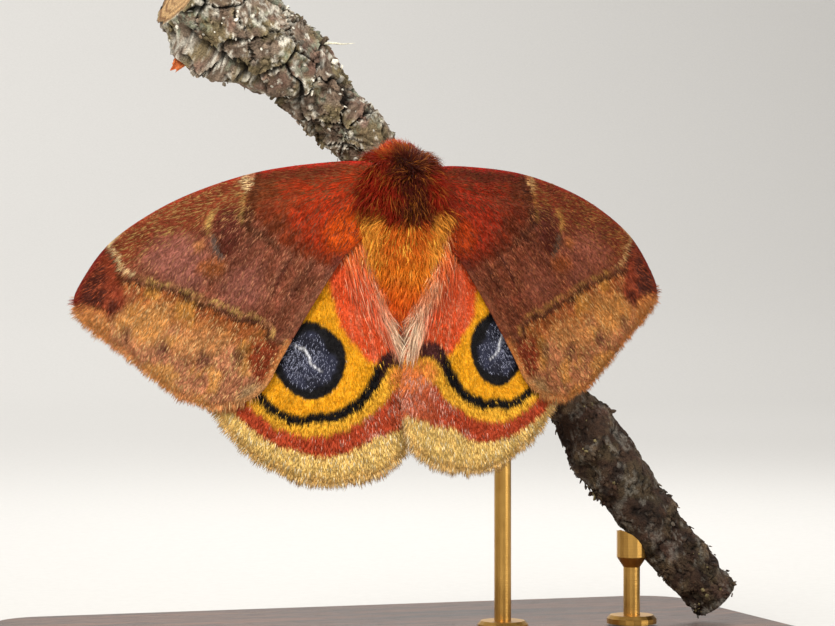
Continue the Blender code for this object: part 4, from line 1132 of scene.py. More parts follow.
def dress_wing(hand, side, pair, grid, veins, depth, pivot, rise, tuck):
    """Makes one wing: its skin, the scales on both faces, the fringe, and a hindwing's long hair."""
    fore = pair == "fore"
    name = f"{pair}wing_{hand}"
    outline = FOREWING if fore else HINDWING
    skin, flat, is_upper, gap, spanwise = wing_skin(name + "_skin", side, grid, veins, depth, pivot, rise,
                                                    tuck, skin_finish)
    shift = RIGHT_SPOT_SHIFT if side > 0 else 0.0
    over = fore_paint(flat, gap) if fore else hind_paint(flat, gap, shift)
    # Painted shade: the right forewing's colours are darkened and browned, less past the outer line, for how
    # the light falls on it.
    if fore and side > 0:
        past_line = np.interp(flat[:, 0], *np.array(POST_LINE[::-1]).T) - flat[:, 1]
        tan_part = fade(past_line, -0.5, 0.5)[:, None]
        shade = np.array(RIGHT_PAINTED_SHADE) * (1 - tan_part) + np.array(RIGHT_TAN_PAINTED_SHADE) * tan_part
        over = (over[0] * shade, over[1] * shade, over[2])
    under = under_paint(flat, gap, fore)
    paint, other = (np.where(is_upper[:, None], over[part], under[part]) for part in (0, 1))
    note(skin, "paint", with_alpha(paint))
    note(skin, "accent", with_alpha(other))
    note(skin, "accent_share", np.where(is_upper, over[2], under[2]))
    note(skin, "root_uv", np.column_stack([(flat[:, 0] + 8) / WING_UV, (flat[:, 1] + 36) / WING_UV, 0 * gap]))
    # The skin takes a fixed 'along', so the root ramp darkens it evenly: painted shade under the coat.
    note(skin, "along", np.full(len(flat), 0.5))
    edge = smooth_curve(outline, 460, closed=True)
    away = unit(edge[nearest_on(flat, edge)[1]] - flat)
    outer = fringed(flat, away)
    lie = lie_fore(flat) if fore else lie_hind(flat)
    outgoing = np.maximum((lie * away).sum(axis=1), 0) * (1 - fade(gap, 0.2, 1.6)) * (1 - outer)
    lie = unit(lie - away * outgoing[:, None])
    comb(skin, lie, spanwise, side > 0)
    seed = 100 + 10 * (side > 0) + 20 * fore
    hidden = 0.0 if fore else 0.75 * patch(flat, COVERED, 0.6)
    note(skin, "cover", is_upper * fade(gap, 0.02, 0.1) * (1 - hidden))
    sharp = 0.0 if fore else patch(flat - (shift, 0), SHARP_SCALES, 1.0)
    dusted = 0.0 if fore else patch(flat - (shift, 0), EYESPOT, 0.3)
    note(skin, "reach", (0.55 + 0.45 * fade(gap, 0, 1.0)) * (1 - 0.35 * sharp) * (1 - 0.35 * dusted))
    pieces = [skin]
    pieces.append(lay_pieces(name + "_scales_over", skin, scale, scale_finish, seed, Spacing=0.000082,
                             Length=0.00072, Length_spread=0.35, Lift=0.06, Lift_spread=0.07, Stray=0.22,
                             Wave=0.0002, Wave_size=0.0007, Shade_spread=0.24))
    note(skin, "cover", (~is_upper) * fade(gap, 0.02, 0.1))
    pieces.append(lay_pieces(name + "_scales_under", skin, scale, scale_finish, seed + 1, Spacing=0.00016,
                             Length=0.0011, Lift=0.04, Lift_spread=0.06, Stray=0.15, Shade_spread=0.25))
    inner = 0.0 if fore else fade(-flat[:, 0], 2.0, 3.5) * fade(-flat[:, 1], 16, 18) * (1 - outer)
    comb(skin, unit(away * np.reshape(1 - 0.75 * inner, (-1, 1)) + 0.5 * lie), spanwise, side > 0)
    note(skin, "cover", (1 - fade(gap, 0.25, 0.45)) * np.maximum(outer, inner))
    note(skin, "reach", 0.6 + 0.5 * cloud(flat, 0.9, 41))
    pieces.append(lay_pieces(name + "_fringe", skin, plume, scale_finish, seed + 2, Spacing=0.00007,
                             Length=0.001, Length_spread=0.35, Lift=0.02, Lift_spread=0.12, Stray=0.2,
                             Shade_spread=0.3))
    if not fore:
        streams = patch(flat, STREAMS, 0.5)
        down = unit(np.stack([-0.20 + 0.014 * (flat[:, 1] + 4), -np.ones(len(flat))], axis=1))
        comb(skin, down, spanwise, side > 0)
        paint, other, share = stream_paint(flat)
        note(skin, "paint", with_alpha(np.where(streams[:, None] > 0.01, paint, over[0])))
        note(skin, "accent", with_alpha(np.where(streams[:, None] > 0.01, other, over[1])))
        note(skin, "accent_share", share)
        outward = fade(flat[:, 0] + 0.16 * (-flat[:, 1] - 4), -1.5, 1.5)
        note(skin, "cover", is_upper * streams * (0.4 + 0.6 * (1 - outward)))
        note(skin, "reach", 0.7 + 0.5 * cloud(flat, 1.4, 43))
        pieces.append(lay_pieces(name + "_stream", skin, stream_hair, scale_finish, seed + 3,
                                 Spacing=0.000115, Length=0.0030, Length_spread=0.35, Lift=0.10,
                                 Lift_spread=0.08, Stray=0.14, Wave=0.0010, Wave_size=0.0022, Clump=0.3,
                                 Clump_size=0.0011, Shade_spread=0.25))
        note(skin, "paint", with_alpha(np.where(is_upper[:, None], over[0], under[0])))
    for piece in pieces:
        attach(piece, "root")
    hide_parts(name)


fore_grid, hind_grid = wing_grid(FOREWING), wing_grid(HINDWING)
for hand, side in HANDS:
    dress_wing(hand, side, "hind", hind_grid, HIND_VEINS, HIND_DEPTH, HIND_PIVOT, RIGHT_HIND_DROP,
               LEFT_TUCK if side < 0 else 0.0)
    dress_wing(hand, side, "fore", fore_grid, FORE_VEINS, FORE_DEPTH, 0.0, RIGHT_FORE_DROP, 0.0)

# The moth's body: head, thorax and abdomen, the palps under the face and six legs, all one horny skin
# with no seams. It lies inside the solids by the depth of its coat; each foot grips the bark.
# Each station of the body: its height, its middle's x and y, and its half width and half depth.
BODY = np.array([(5.2, 0.2, 1.9, 0.6, 0.6), (4.85, 0.2, 1.8, 1.6, 1.5), (4.2, 0.2, 1.6, 2.6, 2.3),
                 (3.1, 0.2, 1.2, 4.2, 3.1), (1.4, 0.1, 0.7, 5.1, 4.3), (-0.8, 0.1, 0.4, 5.7, 5.0),
                 (-3.8, 0.3, 0.4, 5.8, 5.1), (-6.3, 0.45, 0.8, 5.2, 4.7), (-8.8, 0.6, 1.1, 4.8, 4.4),
                 (-11.8, 0.7, 1.7, 4.3, 4.0), (-14.8, 0.75, 2.7, 3.5, 3.4), (-17.4, 0.8, 3.7, 2.6, 2.6),
                 (-19.4, 0.8, 4.4, 1.6, 1.6), (-20.3, 0.8, 4.7, 0.5, 0.5)])
COAT_DEPTH = np.array([(-20.3, 0.25), (-17, 0.5), (-8, 0.9), (-3, 1.2), (1, 1.1), (3.1, 0.8), (5.2, 0.5)])
HEAD_DROP = 0.6                        # how far the skin's crown lies below the coat's
BODY_RINGS, BODY_SIDES = 200, 96
EYE_RADIUS = 1.1
EYE_AT = (2.75, 2.85, 2.65)            # sideways from the head's centre, depth, height
PALP_ROUTE = np.array([(0.75, 3.2, 2.7), (0.85, 4.4, 2.6), (0.75, 5.1, 3.0)])
PALP_RADII = (0.32, 0.42, 0.2)
LEGS = {"front": {"hip": (1.4, 3.7, 0.7), -1: ((5.2, 5.3, 1.4), 0.31), 1: ((5.0, 5.7, 2.1), 0.325)},
        "mid": {"hip": (2.3, 4.0, -0.8), -1: ((5.4, 4.3, -3.0), 0.37), 1: ((7.4, 4.5, 0.1), 0.40)},
        "hind": {"hip": (2.2, 4.0, -4.0), -1: ((2.6, 6.6, -7.6), 0.45), 1: ((9.4, 4.2, -3.2), 0.475)}}
LEG_RADII = (0.62, 0.55, 0.4, 0.25, 0.2)
LEG_STEPS, LEG_SIDES = 60, 14
FOOT_FROM, FOOT_JOINTS = 0.6, 5        # the foot's share of the leg, and its small joints
GRIP_ANGLES, GRIP_CLEAR, KNOT_RISE = (62.0, 98.0, 136.0), 0.95, 0.05
VOXEL = 0.15                           # mm, the skin's fineness


def body_at(heights, column):
    """One column of the body's stations at the given heights."""
    curve = smooth_curve(BODY, 240)
    return np.interp(heights, curve[::-1, 0], curve[::-1, column])


def leg_path(hip, knee, hold, side):
    """From the hip to the knee, then to the bark and round it."""
    centre, _, towards, third, radius = twig_frame(hold)
    reach = radius * (1 + KNOT_RISE) + GRIP_CLEAR
    sign = side if third[0] > 0 else -side
    route = [MOTH_AT + np.array(hip) * (side, 1, 1), MOTH_AT + np.array(knee) * (side, 1, 1)]
    for degrees in GRIP_ANGLES:
        angle = math.radians(degrees)
        route.append(centre + reach * (math.cos(angle) * towards + sign * math.sin(angle) * third))
    return smooth_curve(route, LEG_STEPS)


limbs = []
for side in (-1, 1):
    for pair in LEGS.values():
        knee, hold = pair[side]
        limbs.append((leg_path(pair["hip"], knee, hold, side), LEG_RADII, FOOT_JOINTS))
    limbs.append((smooth_curve(MOTH_AT + PALP_ROUTE * (side, 1, 1), 24), PALP_RADII, 0))
station = smooth_curve(BODY, BODY_RINGS)
rings_of_tail = 0.1 * np.abs(np.sin((station[:, 0] + 7) * math.pi / 1.9)) * (station[:, 0] < -7)
inset = np.interp(station[:, 0], *COAT_DEPTH.T) + 0.1 - rings_of_tail
half = np.maximum(station[:, 3:5] - inset[:, None], 0.12)
angle = np.linspace(0, 2 * math.pi, BODY_SIDES, endpoint=False)
crown = np.repeat(station[:, :1] - HEAD_DROP * fade(station[:, :1], 2.0, 5.2), BODY_SIDES, axis=1)
loft = np.stack([station[:, 1, None] + half[:, :1] * np.cos(angle),
                 station[:, 2, None] + half[:, 1:] * np.sin(angle), crown], axis=2)
body_faces = [tuple(reversed(face)) for face in tube_faces(BODY_RINGS, BODY_SIDES)]
parts = [(MOTH_AT + loft.reshape(-1, 3), body_faces)]
tubes = []
for path, radii, joints in limbs:
    along = np.linspace(0, 1, len(path))
    rounded_ends = np.sqrt(np.clip(1 - abs(2 * along - 1)**20, 0.2, 1))
    radius = np.interp(along, np.linspace(0, 1, len(radii)), radii) * rounded_ends
    if joints:
        foot = fade(along, FOOT_FROM - 0.02, FOOT_FROM)
        bead = np.abs(np.sin((along - FOOT_FROM) / (1 - FOOT_FROM) * math.pi * joints))
        radius = radius * (1 + 0.22 * foot * (bead - 0.6))
    parts.append(tube(path, radius, LEG_SIDES))
    tubes.append((path, radius))
rough = new_piece("body_rough", *joined(parts))
remesh = rough.modifiers.new("one skin", "REMESH")
remesh.mode = "VOXEL"
remesh.voxel_size = VOXEL * MM
soften = rough.modifiers.new("softened", "SMOOTH")
soften.factor, soften.iterations = 0.5, 3
graph = bpy.context.evaluated_depsgraph_get()
mesh = bpy.data.meshes.new_from_object(rough.evaluated_get(graph), depsgraph=graph)
bpy.data.objects.remove(rough, do_unlink=True)
mesh.shade_smooth()
body = bpy.data.objects.new("body_skin", mesh)
bpy.context.scene.collection.objects.link(body)
spots = read(mesh.vertices, "co", 3, float) / MM
facing = read(mesh.vertex_normals, "vector", 3, float)

# Which limb each point belongs to, the way its coat runs, and how far up the body it is.
SHOULDER_TUFT = [(2.8, 4.6), (6.8, 3.4), (7.0, -2.0), (3.6, -2.0)]
near = spots - MOTH_AT
height = near[:, 2]
wide, deep = body_at(height, 3), body_at(height, 4)
inset = np.interp(height, *COAT_DEPTH.T)
round_body = np.hypot((near[:, 0] - body_at(height, 1)) / (wide - inset),
                      (near[:, 1] - body_at(height, 2)) / (deep - inset))
best = (round_body - 1) * (wide - inset)
limb = np.zeros(len(spots), dtype=int)
along_limb = np.zeros(len(spots))
level = np.ones_like(height)
aside = (near[:, 0] - body_at(height, 1)) / wide
curl = np.stack([cloud(near, 1.3, seed) for seed in (61, 62, 63)], axis=1) - 0.5
upward = fade(height + 2.0 * curl[:, 0], 1.9, 3.6)
shoulders = patch(np.stack([abs(near[:, 0]), height], axis=1), SHOULDER_TUFT, 1.0)
flank_from = np.interp(height, (-16, -14.5, -11.8, -7.8, -6.0, -4.8), (0.4, 0.8, 1.9, 3.3, 3.9, 4.4))
flank = fade(abs(near[:, 0]) - flank_from + 0.8 * curl[:, 1], -0.4, 0.6) * (1 - fade(height, -5.4, -3.6))
flank *= 1 - fade(near[:, 1] - body_at(height, 2), 0.0, 1.5)
lie = np.stack([(0.45 + 0.5 * upward + 0.7 * shoulders) * aside, 0.25 * upward, 1.9 * upward - 1], axis=1)
lie += (0.5 + 1.2 * fade(height, -7.5, -4.0))[:, None] * curl * (1 - 0.7 * flank)[:, None]
lie += flank[:, None] * np.stack([-0.35 * np.sign(near[:, 0]) - lie[:, 0], 0 * height, 0 * height], axis=1)
for index, (path, radius) in enumerate(tubes):
    gap, step = nearest_on(spots, path)
    closer = gap - radius[step] < best - 0.15
    limb[closer] = index + 1
    along_limb[closer] = step[closer] / len(path)
    best = np.where(closer, gap - radius[step], best)
    lie[closer] = unit(np.gradient(path, axis=0))[step[closer]]
lie = unit(lie - facing * (lie * facing).sum(axis=1)[:, None])
is_body = limb == 0

# The coat's colours. The thorax is maroon brown with olive gold tips, its rear corners golden; the
# abdomen goes from gold through orange to red at its tip; the collar is red orange, the belly tan.
THORAX, THORAX_DARK, THORAX_RED, SHOULDER = (98, 32, 10), (60, 20, 8), (150, 34, 10), (80, 24, 14)
TIP_OLIVE, SIDE_GOLD, COLLAR = (150, 82, 26), (255, 170, 62), (200, 66, 22)
TAIL_OLIVE, TAIL_GOLD, TAIL_ORANGE, TAIL_RED = (232, 118, 34), (255, 146, 38), (255, 116, 34), (236, 78, 38)
BELLY, LEG_RED, FOOT_DARK = (206, 136, 88), (160, 66, 44), (112, 58, 40)
FLANK_ORANGE, FLANK_SALMON, FLANK_PALE = (250, 122, 66), (255, 178, 130), (244, 214, 180)
TAIL_TIPS, TAIL_END_TIPS, FLANK_TIPS = (255, 190, 70), (255, 134, 52), (255, 198, 156)
BELLY_TIPS, LEG_TIPS, COLLAR_TIPS = (240, 190, 140), (214, 150, 110), (238, 130, 60)
BACK_DARK = [(-1.2, 2.6), (1.8, 2.4), (2.2, -1.5), (2.6, -4.2), (0.6, -3.4), (-0.9, -1)]
SHOULDER_PATCH = np.array([(4.2, 2.4), (6.8, 1.4), (6.2, -1.6), (4.4, -0.6)])
BACK_RED = np.array([(2.4, 1.4), (3.8, 0.6), (3.2, -2.2), (2.0, -1.6)])
REAR_GOLD = np.array([(2.2, -3.6), (4.6, -2.6), (4.8, -6.5), (4.2, -9.5), (2.6, -8.2)])
shaken = near + 1.1 * np.stack([cloud(near, 1.5, seed) for seed in (71, 72, 73)], axis=1) - 0.55
x, y, h = shaken.T
front = np.stack([x, h], axis=1)
tail = 1 - fade(h + 0.2 * x, -4.8, -3.6)
under = fade(near[:, 1] - body_at(height, 2), 1.0, 3.0)
on_leg = (~is_body).astype(float)
paint = layered(plain(near, THORAX), [
    (THORAX_RED, 0.75 * fade(rough_cloud(near, 2.4, 75), 0.46, 0.62)),
    (THORAX_DARK, 0.85 * patch(front, BACK_DARK, 1.0))])
for mirror in (-1, 1):
    paint = lay(paint, SHOULDER, 0.8 * patch(front, SHOULDER_PATCH * (mirror, 1), 0.7))
    paint = lay(paint, THORAX_RED, 0.8 * patch(front, BACK_RED * (mirror, 1), 0.6))
paint = lay(paint, TAIL_OLIVE, tail)
for mirror in (-1, 1):
    paint = lay(paint, SIDE_GOLD, 0.95 * patch(front, REAR_GOLD * (mirror, 1), 0.7))
paint = layered(paint, [
    (TAIL_GOLD, (1 - fade(h, -9.0, -6.6)) * (0.5 + 0.5 * fade(cloud(near, 1.3, 77), 0.3, 0.6))),
    (TAIL_ORANGE, 1 - fade(h, -12.5, -9.5)),
    (TAIL_RED, 1 - fade(h, -15.5, -12.0)),
    (FLANK_ORANGE, flank),
    (FLANK_SALMON, 0.75 * flank * fade(cloud(near * (1.6, 1.6, 0.3), 1.2, 78), 0.4, 0.6)),
    (FLANK_PALE, 0.9 * flank * fade(-height, 11.0, 14.0)),
    (COLLAR, fade(h, 3.3, 4.2) * fade(-abs(x + 0.4), -2.4, -1.0)),
    (COLLAR, fade(h, 4.2, 4.8)),
    (BELLY, 0.85 * under * (1 - fade(h, 3.0, 4.5))),
    (LEG_RED, on_leg),
    (FOOT_DARK, on_leg * fade(along_limb, 0.5, 0.75))])
accent = layered(plain(near, TIP_OLIVE), [
    (TAIL_TIPS, tail),
    (TAIL_END_TIPS, 1 - fade(h, -10.5, -8.0)),
    (FLANK_TIPS, flank),
    (BELLY_TIPS, under),
    (LEG_TIPS, on_leg),
    (COLLAR_TIPS, fade(h, 3.4, 4.6))])
share_of_tips = 0.08 + 0.25 * fade(rough_cloud(near, 1.6, 79), 0.42, 0.62)
note(body, "paint", with_alpha(paint))
note(body, "accent", with_alpha(accent))
note(body, "accent_share", share_of_tips)
# The skin takes a fixed 'along', so the root ramp darkens it evenly: painted shade under the coat.
note(body, "along", np.full(len(near), 0.3))
note(body, "lie", lie)

corner_point, corner_face, face_start = corner_values(body)
own = limb[corner_point[face_start]][corner_face]
turned = np.arctan2(near[:, 1] - 1.0, near[:, 0])[corner_point] / (2 * math.pi) + 0.5
lead = turned[face_start][corner_face]
turned = turned + (lead - turned > 0.5) - (turned - lead > 0.5)
body_uv = np.column_stack([0.02 + 0.66 * turned, (height[corner_point] + 21.5) / 29.5, 0 * turned])
for index, (path, radius) in enumerate(tubes):
    mine = own == index + 1
    strip = 0.72 + 0.034 * index + 0.01 * np.sin(lead[mine] * 2 * math.pi)
    body_uv[mine] = np.column_stack([strip, 0.02 + 0.96 * along_limb[corner_point[mine]], 0 * strip])
note(body, "root_uv", body_uv, "CORNER")

body_finish, tree, shader = coat_finish("horny skin under hair", 0.55, 1.0, {"Roughness": 0.7}, "paint")
dented(tree, shader, stretched_noise(tree, (5200.0, 5200.0, 1500.0), 3.0), 0.0003)
mesh.materials.append(body_finish)
hair_finish = coat_finish("soft hair", 0.66, 1.18, {"Specular IOR Level": 0.12})[0]
hair = tuft("long_hair", 0.034, 0.14, 2)
short_hair = tuft("short_hair", 0.09, 0.05, 1)
eye_gap = np.min([np.linalg.norm(near - (body_at(EYE_AT[2], 1) + side * EYE_AT[0], EYE_AT[1], EYE_AT[2]),
                                 axis=1)
                  for side in (-1, 1)], axis=0)
clear_of_eyes = fade(eye_gap, 1.15, 1.5)
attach(body, "root")
nodes = ["head", "thorax", "abdomen"] + [f"{part}_{hand}" for hand in ("left", "right")
                                         for part in ("palp", "leg_front", "leg_mid", "leg_hind")]
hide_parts(*nodes)

# The body's coat: short dense hair on the face, long woolly hair on the thorax that lifts and clumps,
# combed hair on the abdomen, and a close nap on the legs and palps.
COATS = {
    "head_hair": (fade(height, 1.6, 2.6) * is_body * clear_of_eyes, hair, "head_hair",
                  {"Spacing": 0.000082, "Length": 0.0012, "Lift": 0.45, "Lift_spread": 0.3, "Stray": 0.35,
                   "Wave": 0.0006, "Wave_size": 0.0007, "Clump": 0.3, "Clump_size": 0.0006}),
    "thorax_hair": (fade(height, -7.8, -6.8) * (1 - fade(height, 1.8, 2.8)) * is_body, hair, "thorax_hair",
                    {"Spacing": 0.000086, "Length": 0.0017, "Lift": 0.34, "Lift_spread": 0.28, "Stray": 0.4,
                     "Wave": 0.0012, "Wave_size": 0.0009, "Clump": 0.4, "Clump_size": 0.0008}),
    "abdomen_hair": ((1 - fade(height, -7.2, -6.2)) * is_body, hair, "abdomen_hair",
                     {"Spacing": 0.000092, "Length": 0.0017, "Lift": 0.28, "Lift_spread": 0.25, "Stray": 0.4,
                      "Wave": 0.0014, "Wave_size": 0.0008, "Clump": 0.35, "Clump_size": 0.0007}),
    "leg_nap": (on_leg, short_hair, "leg_hair",
                {"Spacing": 0.00010, "Length": 0.0006, "Lift": 0.25, "Lift_spread": 0.2, "Stray": 0.25}),
}
reach = 1 - 0.45 * fade(along_limb, 0.4, 0.9) * on_leg
tail_tip = (1 - fade(height, -20.3, -17)) * is_body
reach *= np.where(is_body, 0.85 + 0.3 * cloud(near, 2.0, 95), 1.0) * (1 - 0.3 * tail_tip)
sides = patch(np.abs(front), [(2.6, 3.2), (6.8, 2.8), (6.6, 8.6), (3.0, 8.4)], 0.8) * (height < 0)
reach *= (1 + 0.2 * sides * is_body) * (1 + 0.5 * shoulders * is_body) * (1 + 0.4 * flank * is_body)
note(body, "reach", reach)
for seed, (name, (cover, piece, slot, values)) in enumerate(COATS.items()):
    note(body, "cover", cover)
    coat = lay_pieces(name, body, piece, hair_finish, 400 + seed, Shade_spread=0.35, **values)
    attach(coat, "root")

# The eyes: dark domes set in the sides of the head, each a honeycomb of small lenses that stand a
# little proud of one another. They are hard and glossy.
EYE_DARK, EYE_BROWN = (22, 14, 12), (74, 46, 34)
LENS_SHAPE = (0.85, 1.0, 1.0)          # each dome is a little flat from side to side
facet_tree = bpy.data.node_groups.new("faceted eye", "GeometryNodeTree")
for name, kind in (("Radius", "Float"), ("Fineness", "Int"), ("Proud", "Float"), ("Finish", "Material")):
    facet_tree.interface.new_socket(name, in_out="INPUT", socket_type="NodeSocket" + kind)
facet_tree.interface.new_socket("Eye", in_out="OUTPUT", socket_type="NodeSocketGeometry")
given = facet_tree.nodes.new("NodeGroupInput").outputs
ball = place(facet_tree, "GeometryNodeMeshIcoSphere",
             {"Radius": given["Radius"], "Subdivisions": given["Fineness"]})
comb_faces = place(facet_tree, "GeometryNodeDualMesh", {"Mesh": ball.outputs["Mesh"]})
raised = place(facet_tree, "GeometryNodeExtrudeMesh",
               {"Mesh": comb_faces.outputs[0], "Offset Scale": given["Proud"], "Individual": True},
               mode="FACES")
domed = place(facet_tree, "GeometryNodeScaleElements",
              {"Geometry": raised.outputs["Mesh"], "Selection": raised.outputs["Top"], "Scale": 0.72})
finished = place(facet_tree, "GeometryNodeSetMaterial",
                 {"Geometry": domed.outputs[0], "Material": given["Finish"]})
result = facet_tree.nodes.new("NodeGroupOutput")
facet_tree.links.new(finished.outputs[0], result.inputs["Eye"])

eye_finish, tree, shader = new_finish("compound eye", {"Roughness": 0.16, "Coat Weight": 0.6})
tone = stretched_noise(tree, (1600.0, 1600.0, 1600.0), 2.0)
tree.links.new(blend_colours(tree, tone, opaque(EYE_DARK), opaque(EYE_BROWN)), shader.inputs["Base Color"])


for hand, side in HANDS:
    lens = run_tree(f"eye_{hand}_lenses", bpy.data.meshes.new("start"), facet_tree,
                    {"Radius": EYE_RADIUS * MM, "Fineness": 4, "Proud": 0.00005, "Finish": eye_finish})
    centre = MOTH_AT + (body_at(EYE_AT[2], 1) + side * EYE_AT[0], EYE_AT[1], EYE_AT[2])
    spots = read(lens.data.vertices, "co", 3, float) * LENS_SHAPE + centre * MM
    lens.data.vertices.foreach_set("co", spots.ravel())
    lens.data.update()
    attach(lens, "root")
    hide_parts(f"eye_{hand}")

# The antennae: a female's are narrow, a jointed horny shaft with two rows of short teeth that point
# forward. Each is rooted beside an eye and laid back along the body behind the forewing.
ANTENNA_ROUTE = np.array([(2.2, 1.3, 3.5), (3.3, 1.4, 3.3), (4.7, 1.6, 2.3), (6.0, 2.0, 0.4),
                          (7.2, 2.1, -1.4), (8.6, 2.4, -3.8)])
FEELER_STEPS, FEELER_JOINTS, TOOTH_MM = 240, 40, 0.62
HORN_DARK, HORN_PALE = (134, 84, 40), (206, 154, 88)
feeler_tree = bpy.data.node_groups.new("toothed feeler", "GeometryNodeTree")
for name, kind in (("Line", "Geometry"), ("Tooth", "Object"), ("Joints", "Int"), ("Reach", "Float"),
                   ("Finish", "Material")):
    feeler_tree.interface.new_socket(name, in_out="INPUT", socket_type="NodeSocket" + kind)
feeler_tree.interface.new_socket("Feeler", in_out="OUTPUT", socket_type="NodeSocketGeometry")
given = feeler_tree.nodes.new("NodeGroupInput").outputs


def grow(kind, inputs, **settings):
    """A node of the feeler's tree, its first output."""
    return place(feeler_tree, kind, inputs, **settings).outputs[0]


def feeler_value(name, kind="FLOAT"):
    kept = place(feeler_tree, "GeometryNodeInputNamedAttribute", {"Name": name}, data_type=kind)
    return kept.outputs["Attribute"]


def vector_step(operation, inputs):
    return grow("ShaderNodeVectorMath", inputs, operation=operation)


curve = grow("GeometryNodeMeshToCurve", {"Mesh": given["Line"]})
circle = grow("GeometryNodeCurvePrimitiveCircle", {"Resolution": 12, "Radius": 1.0})
shaft = grow("GeometryNodeCurveToMesh", {"Curve": curve, "Profile Curve": circle,
                                         "Scale": feeler_value("thickness"), "Fill Caps": True})
joints = place(feeler_tree, "GeometryNodeCurveToPoints", {"Curve": curve, "Count": given["Joints"]},
               mode="COUNT")
parts = place(feeler_tree, "GeometryNodeJoinGeometry")
feeler_tree.links.new(shaft, parts.inputs[0])
source = place(feeler_tree, "GeometryNodeObjectInfo", {"Object": given["Tooth"]}, transform_space="ORIGINAL")
for sign in (-1.0, 1.0):
    sideways = vector_step("SCALE", {0: feeler_value("across", "FLOAT_VECTOR"), "Scale": sign})
    leaning = vector_step("SCALE", {0: joints.outputs["Tangent"], "Scale": 0.7})
    turned = grow("FunctionNodeAxesToRotation",
                  {"Primary Axis": vector_step("ADD", {0: sideways, 1: leaning}),
                   "Secondary Axis": joints.outputs["Tangent"]}, primary_axis="X", secondary_axis="Z")
    size = grow("ShaderNodeMath", {0: given["Reach"], 1: feeler_value("tooth_share")}, operation="MULTIPLY")
    laid = grow("GeometryNodeInstanceOnPoints",
                {"Points": joints.outputs["Points"], "Instance": source.outputs["Geometry"],
                 "Rotation": turned, "Scale": size})
    feeler_tree.links.new(laid, parts.inputs[0])
real = grow("GeometryNodeRealizeInstances", {"Geometry": parts.outputs[0]})
finished = grow("GeometryNodeSetMaterial", {"Geometry": real, "Material": given["Finish"]})
result = feeler_tree.nodes.new("NodeGroupOutput")
feeler_tree.links.new(finished, result.inputs["Feeler"])

horn_finish, tree, shader = new_finish("antenna horn", {"Roughness": 0.45})
tone = stretched_noise(tree, (3000.0, 3000.0, 3000.0), 2.0)
tree.links.new(blend_colours(tree, tone, opaque(HORN_DARK), opaque(HORN_PALE)), shader.inputs["Base Color"])
tooth = tuft("antenna_tooth", 0.16, 0.12, 2)
for hand, side in HANDS:
    line = smooth_curve(MOTH_AT + ANTENNA_ROUTE * (side, 1, 1), FEELER_STEPS)
    spine = bpy.data.meshes.new("spine")
    spine.from_pydata((line * MM).tolist(), [(step, step + 1) for step in range(FEELER_STEPS - 1)], [])
    holder = bpy.data.objects.new("holder", spine)
    along = np.linspace(0, 1, FEELER_STEPS)
    beads = 1 + 0.16 * np.abs(np.sin(along * FEELER_JOINTS * math.pi))
    ends = np.sqrt(np.clip(1 - np.abs(2 * along - 1)**30, 0.1, 1))
    note(holder, "thickness", (0.17 - 0.10 * along) * beads * ends * MM)
    note(holder, "across", unit(np.cross(np.gradient(line, axis=0), (0.0, 1.0, 0.0))))
    note(holder, "tooth_share", 1 - 0.75 * np.abs(2 * along - 0.9)**2.5)
    feeler = run_tree(f"antenna_{hand}_horn", spine, feeler_tree,
                      {"Tooth": tooth, "Joints": FEELER_JOINTS, "Reach": TOOTH_MM * MM,
                       "Finish": horn_finish})
    bpy.data.objects.remove(holder, do_unlink=True)
    forget(feeler, "thickness", "across", "tooth_share", "along", "patch")
    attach(feeler, "root")
    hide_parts(f"antenna_{hand}")

# The claws: two small hooks at the end of each foot, horny and dark, that dig into the bark.
CLAW_LONG, CLAW_SPREAD, CLAW_BROWN = 0.55, 0.35, (52, 26, 16)
parts = []
for path, radius in tubes:
    if len(path) != LEG_STEPS:
        continue
    ahead = unit(path[-1] - path[-4])
    centre = TWIG[:, :3][np.argmin(np.linalg.norm(TWIG[:, :3] - path[-1], axis=1))]
    inward = unit(centre - path[-1])
    across = unit(np.cross(ahead, inward))
    for sign in (-1, 1):
        reach = np.linspace(0, 1, 9)[:, None]
        hook = path[-1] - 0.1 * ahead + CLAW_LONG * reach * (0.9 * ahead + CLAW_SPREAD * sign * across)
        hook = hook + CLAW_LONG * 0.75 * reach**2 * (inward - 0.4 * ahead)
        parts.append(tube(hook, 0.085 * (1 - reach[:, 0]) + 0.012, 8))
claw_finish = new_finish("claw horn", {"Roughness": 0.3, "Base Color": opaque(CLAW_BROWN)})[0]
claws = new_piece("claws", *joined(parts), claw_finish)
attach(claws, "root")

# The studio: a pale floor that sweeps up into a pale backdrop, one big soft lamp in front and above on
# the left, a weaker one on the right, and a lamp behind that lifts the outline off the backdrop.
CAMERA_YAW, FULL_FRAME, FLOOR_HALF = 18.0, 36.0, 2000
PIXEL_MM, PHOTO_WIDE = 0.112, 835
CAMERA_FAR, CAMERA_HIGH, BODY_PIXEL = 300.0, 42.0, 400.0
PAPER_DARK, PAPER_PALE = (206, 204, 200), (216, 214, 210)
FLOOR_LINE = [(-1500, 0), (500, 0), (900, 25), (1250, 160), (1450, 480), (1500, 1500)]    # depth and height
sweep_line = smooth_curve(FLOOR_LINE, 60)
points = [(x, y, z) for y, z in sweep_line for x in (-FLOOR_HALF, FLOOR_HALF)]
faces = [(2 * row, 2 * row + 1, 2 * row + 3, 2 * row + 2) for row in range(len(sweep_line) - 1)]
finish, tree, shader = new_finish("pale paper", {"Roughness": 0.9})
tooth = stretched_noise(tree, (900.0, 900.0, 900.0), 3.0)
tree.links.new(blend_colours(tree, tooth, opaque(PAPER_DARK), opaque(PAPER_PALE)),
               shader.inputs["Base Color"])
floor = new_piece("floor", points, faces, finish)

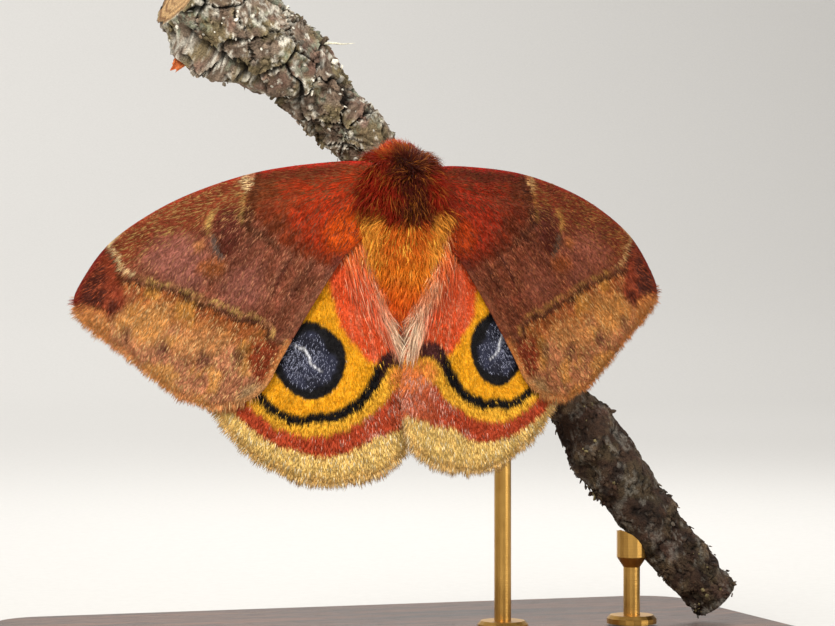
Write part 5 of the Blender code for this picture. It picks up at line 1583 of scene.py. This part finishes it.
yaw = math.radians(CAMERA_YAW)
toward = np.array([math.sin(yaw), math.cos(yaw), 0.0])
rightward = np.array([math.cos(yaw), -math.sin(yaw), 0.0])
target = np.array([MOTH_AT[0], MOTH_AT[1], 0.0]) + rightward * (PHOTO_WIDE / 2 - BODY_PIXEL) * PIXEL_MM
eye = target - toward * CAMERA_FAR + (0, 0, CAMERA_HIGH)
camera_data = bpy.data.cameras.new("camera")
camera_data.lens = FULL_FRAME * CAMERA_FAR / (PHOTO_WIDE * PIXEL_MM)
camera_data.sensor_width = FULL_FRAME
camera_data.clip_start = 0.01
camera = bpy.data.objects.new("camera", camera_data)
camera.location = (eye * MM).tolist()
camera.rotation_euler = (math.radians(90), 0.0, -yaw)
bpy.context.scene.collection.objects.link(camera)
bpy.context.scene.camera = camera


def lamp(name, place_mm, aim_mm, size_mm, watts, colour):
    """A square soft lamp that faces its aim."""
    light = bpy.data.lights.new(name, "AREA")
    light.shape = "SQUARE"
    light.size = size_mm * MM
    light.energy = watts
    light.color = colour
    thing = bpy.data.objects.new(name, light)
    away = unit(np.array(place_mm, float) - aim_mm)
    side = unit(np.cross((0, 0, 1.0), away))
    turned = np.eye(4)
    turned[:3, 0], turned[:3, 1], turned[:3, 2] = side, np.cross(away, side), away
    turned[:3, 3] = np.array(place_mm) * MM
    thing.matrix_world = Matrix(turned.tolist())
    bpy.context.scene.collection.objects.link(thing)


lamp("key lamp", (-260, -330, 330), MOTH_AT, 200, 2.6, (1.0, 0.97, 0.92))
lamp("fill lamp", (300, -300, 140), MOTH_AT, 260, 0.7, (1.0, 0.98, 0.96))
lamp("back lamp", (120, 240, 330), MOTH_AT, 160, 0.8, (1.0, 1.0, 1.0))
lamp("backdrop lamp", (0, 500, 900), (0, 1450, 300), 700, 8.0, (1.0, 1.0, 1.0))
world = bpy.data.worlds.new("studio air")
world.use_nodes = True
world.node_tree.nodes["Background"].inputs["Color"].default_value = (1.0, 0.98, 0.96, 1.0)
world.node_tree.nodes["Background"].inputs["Strength"].default_value = 0.5
bpy.context.scene.world = world
bpy.context.scene.view_settings.view_transform = "Standard"
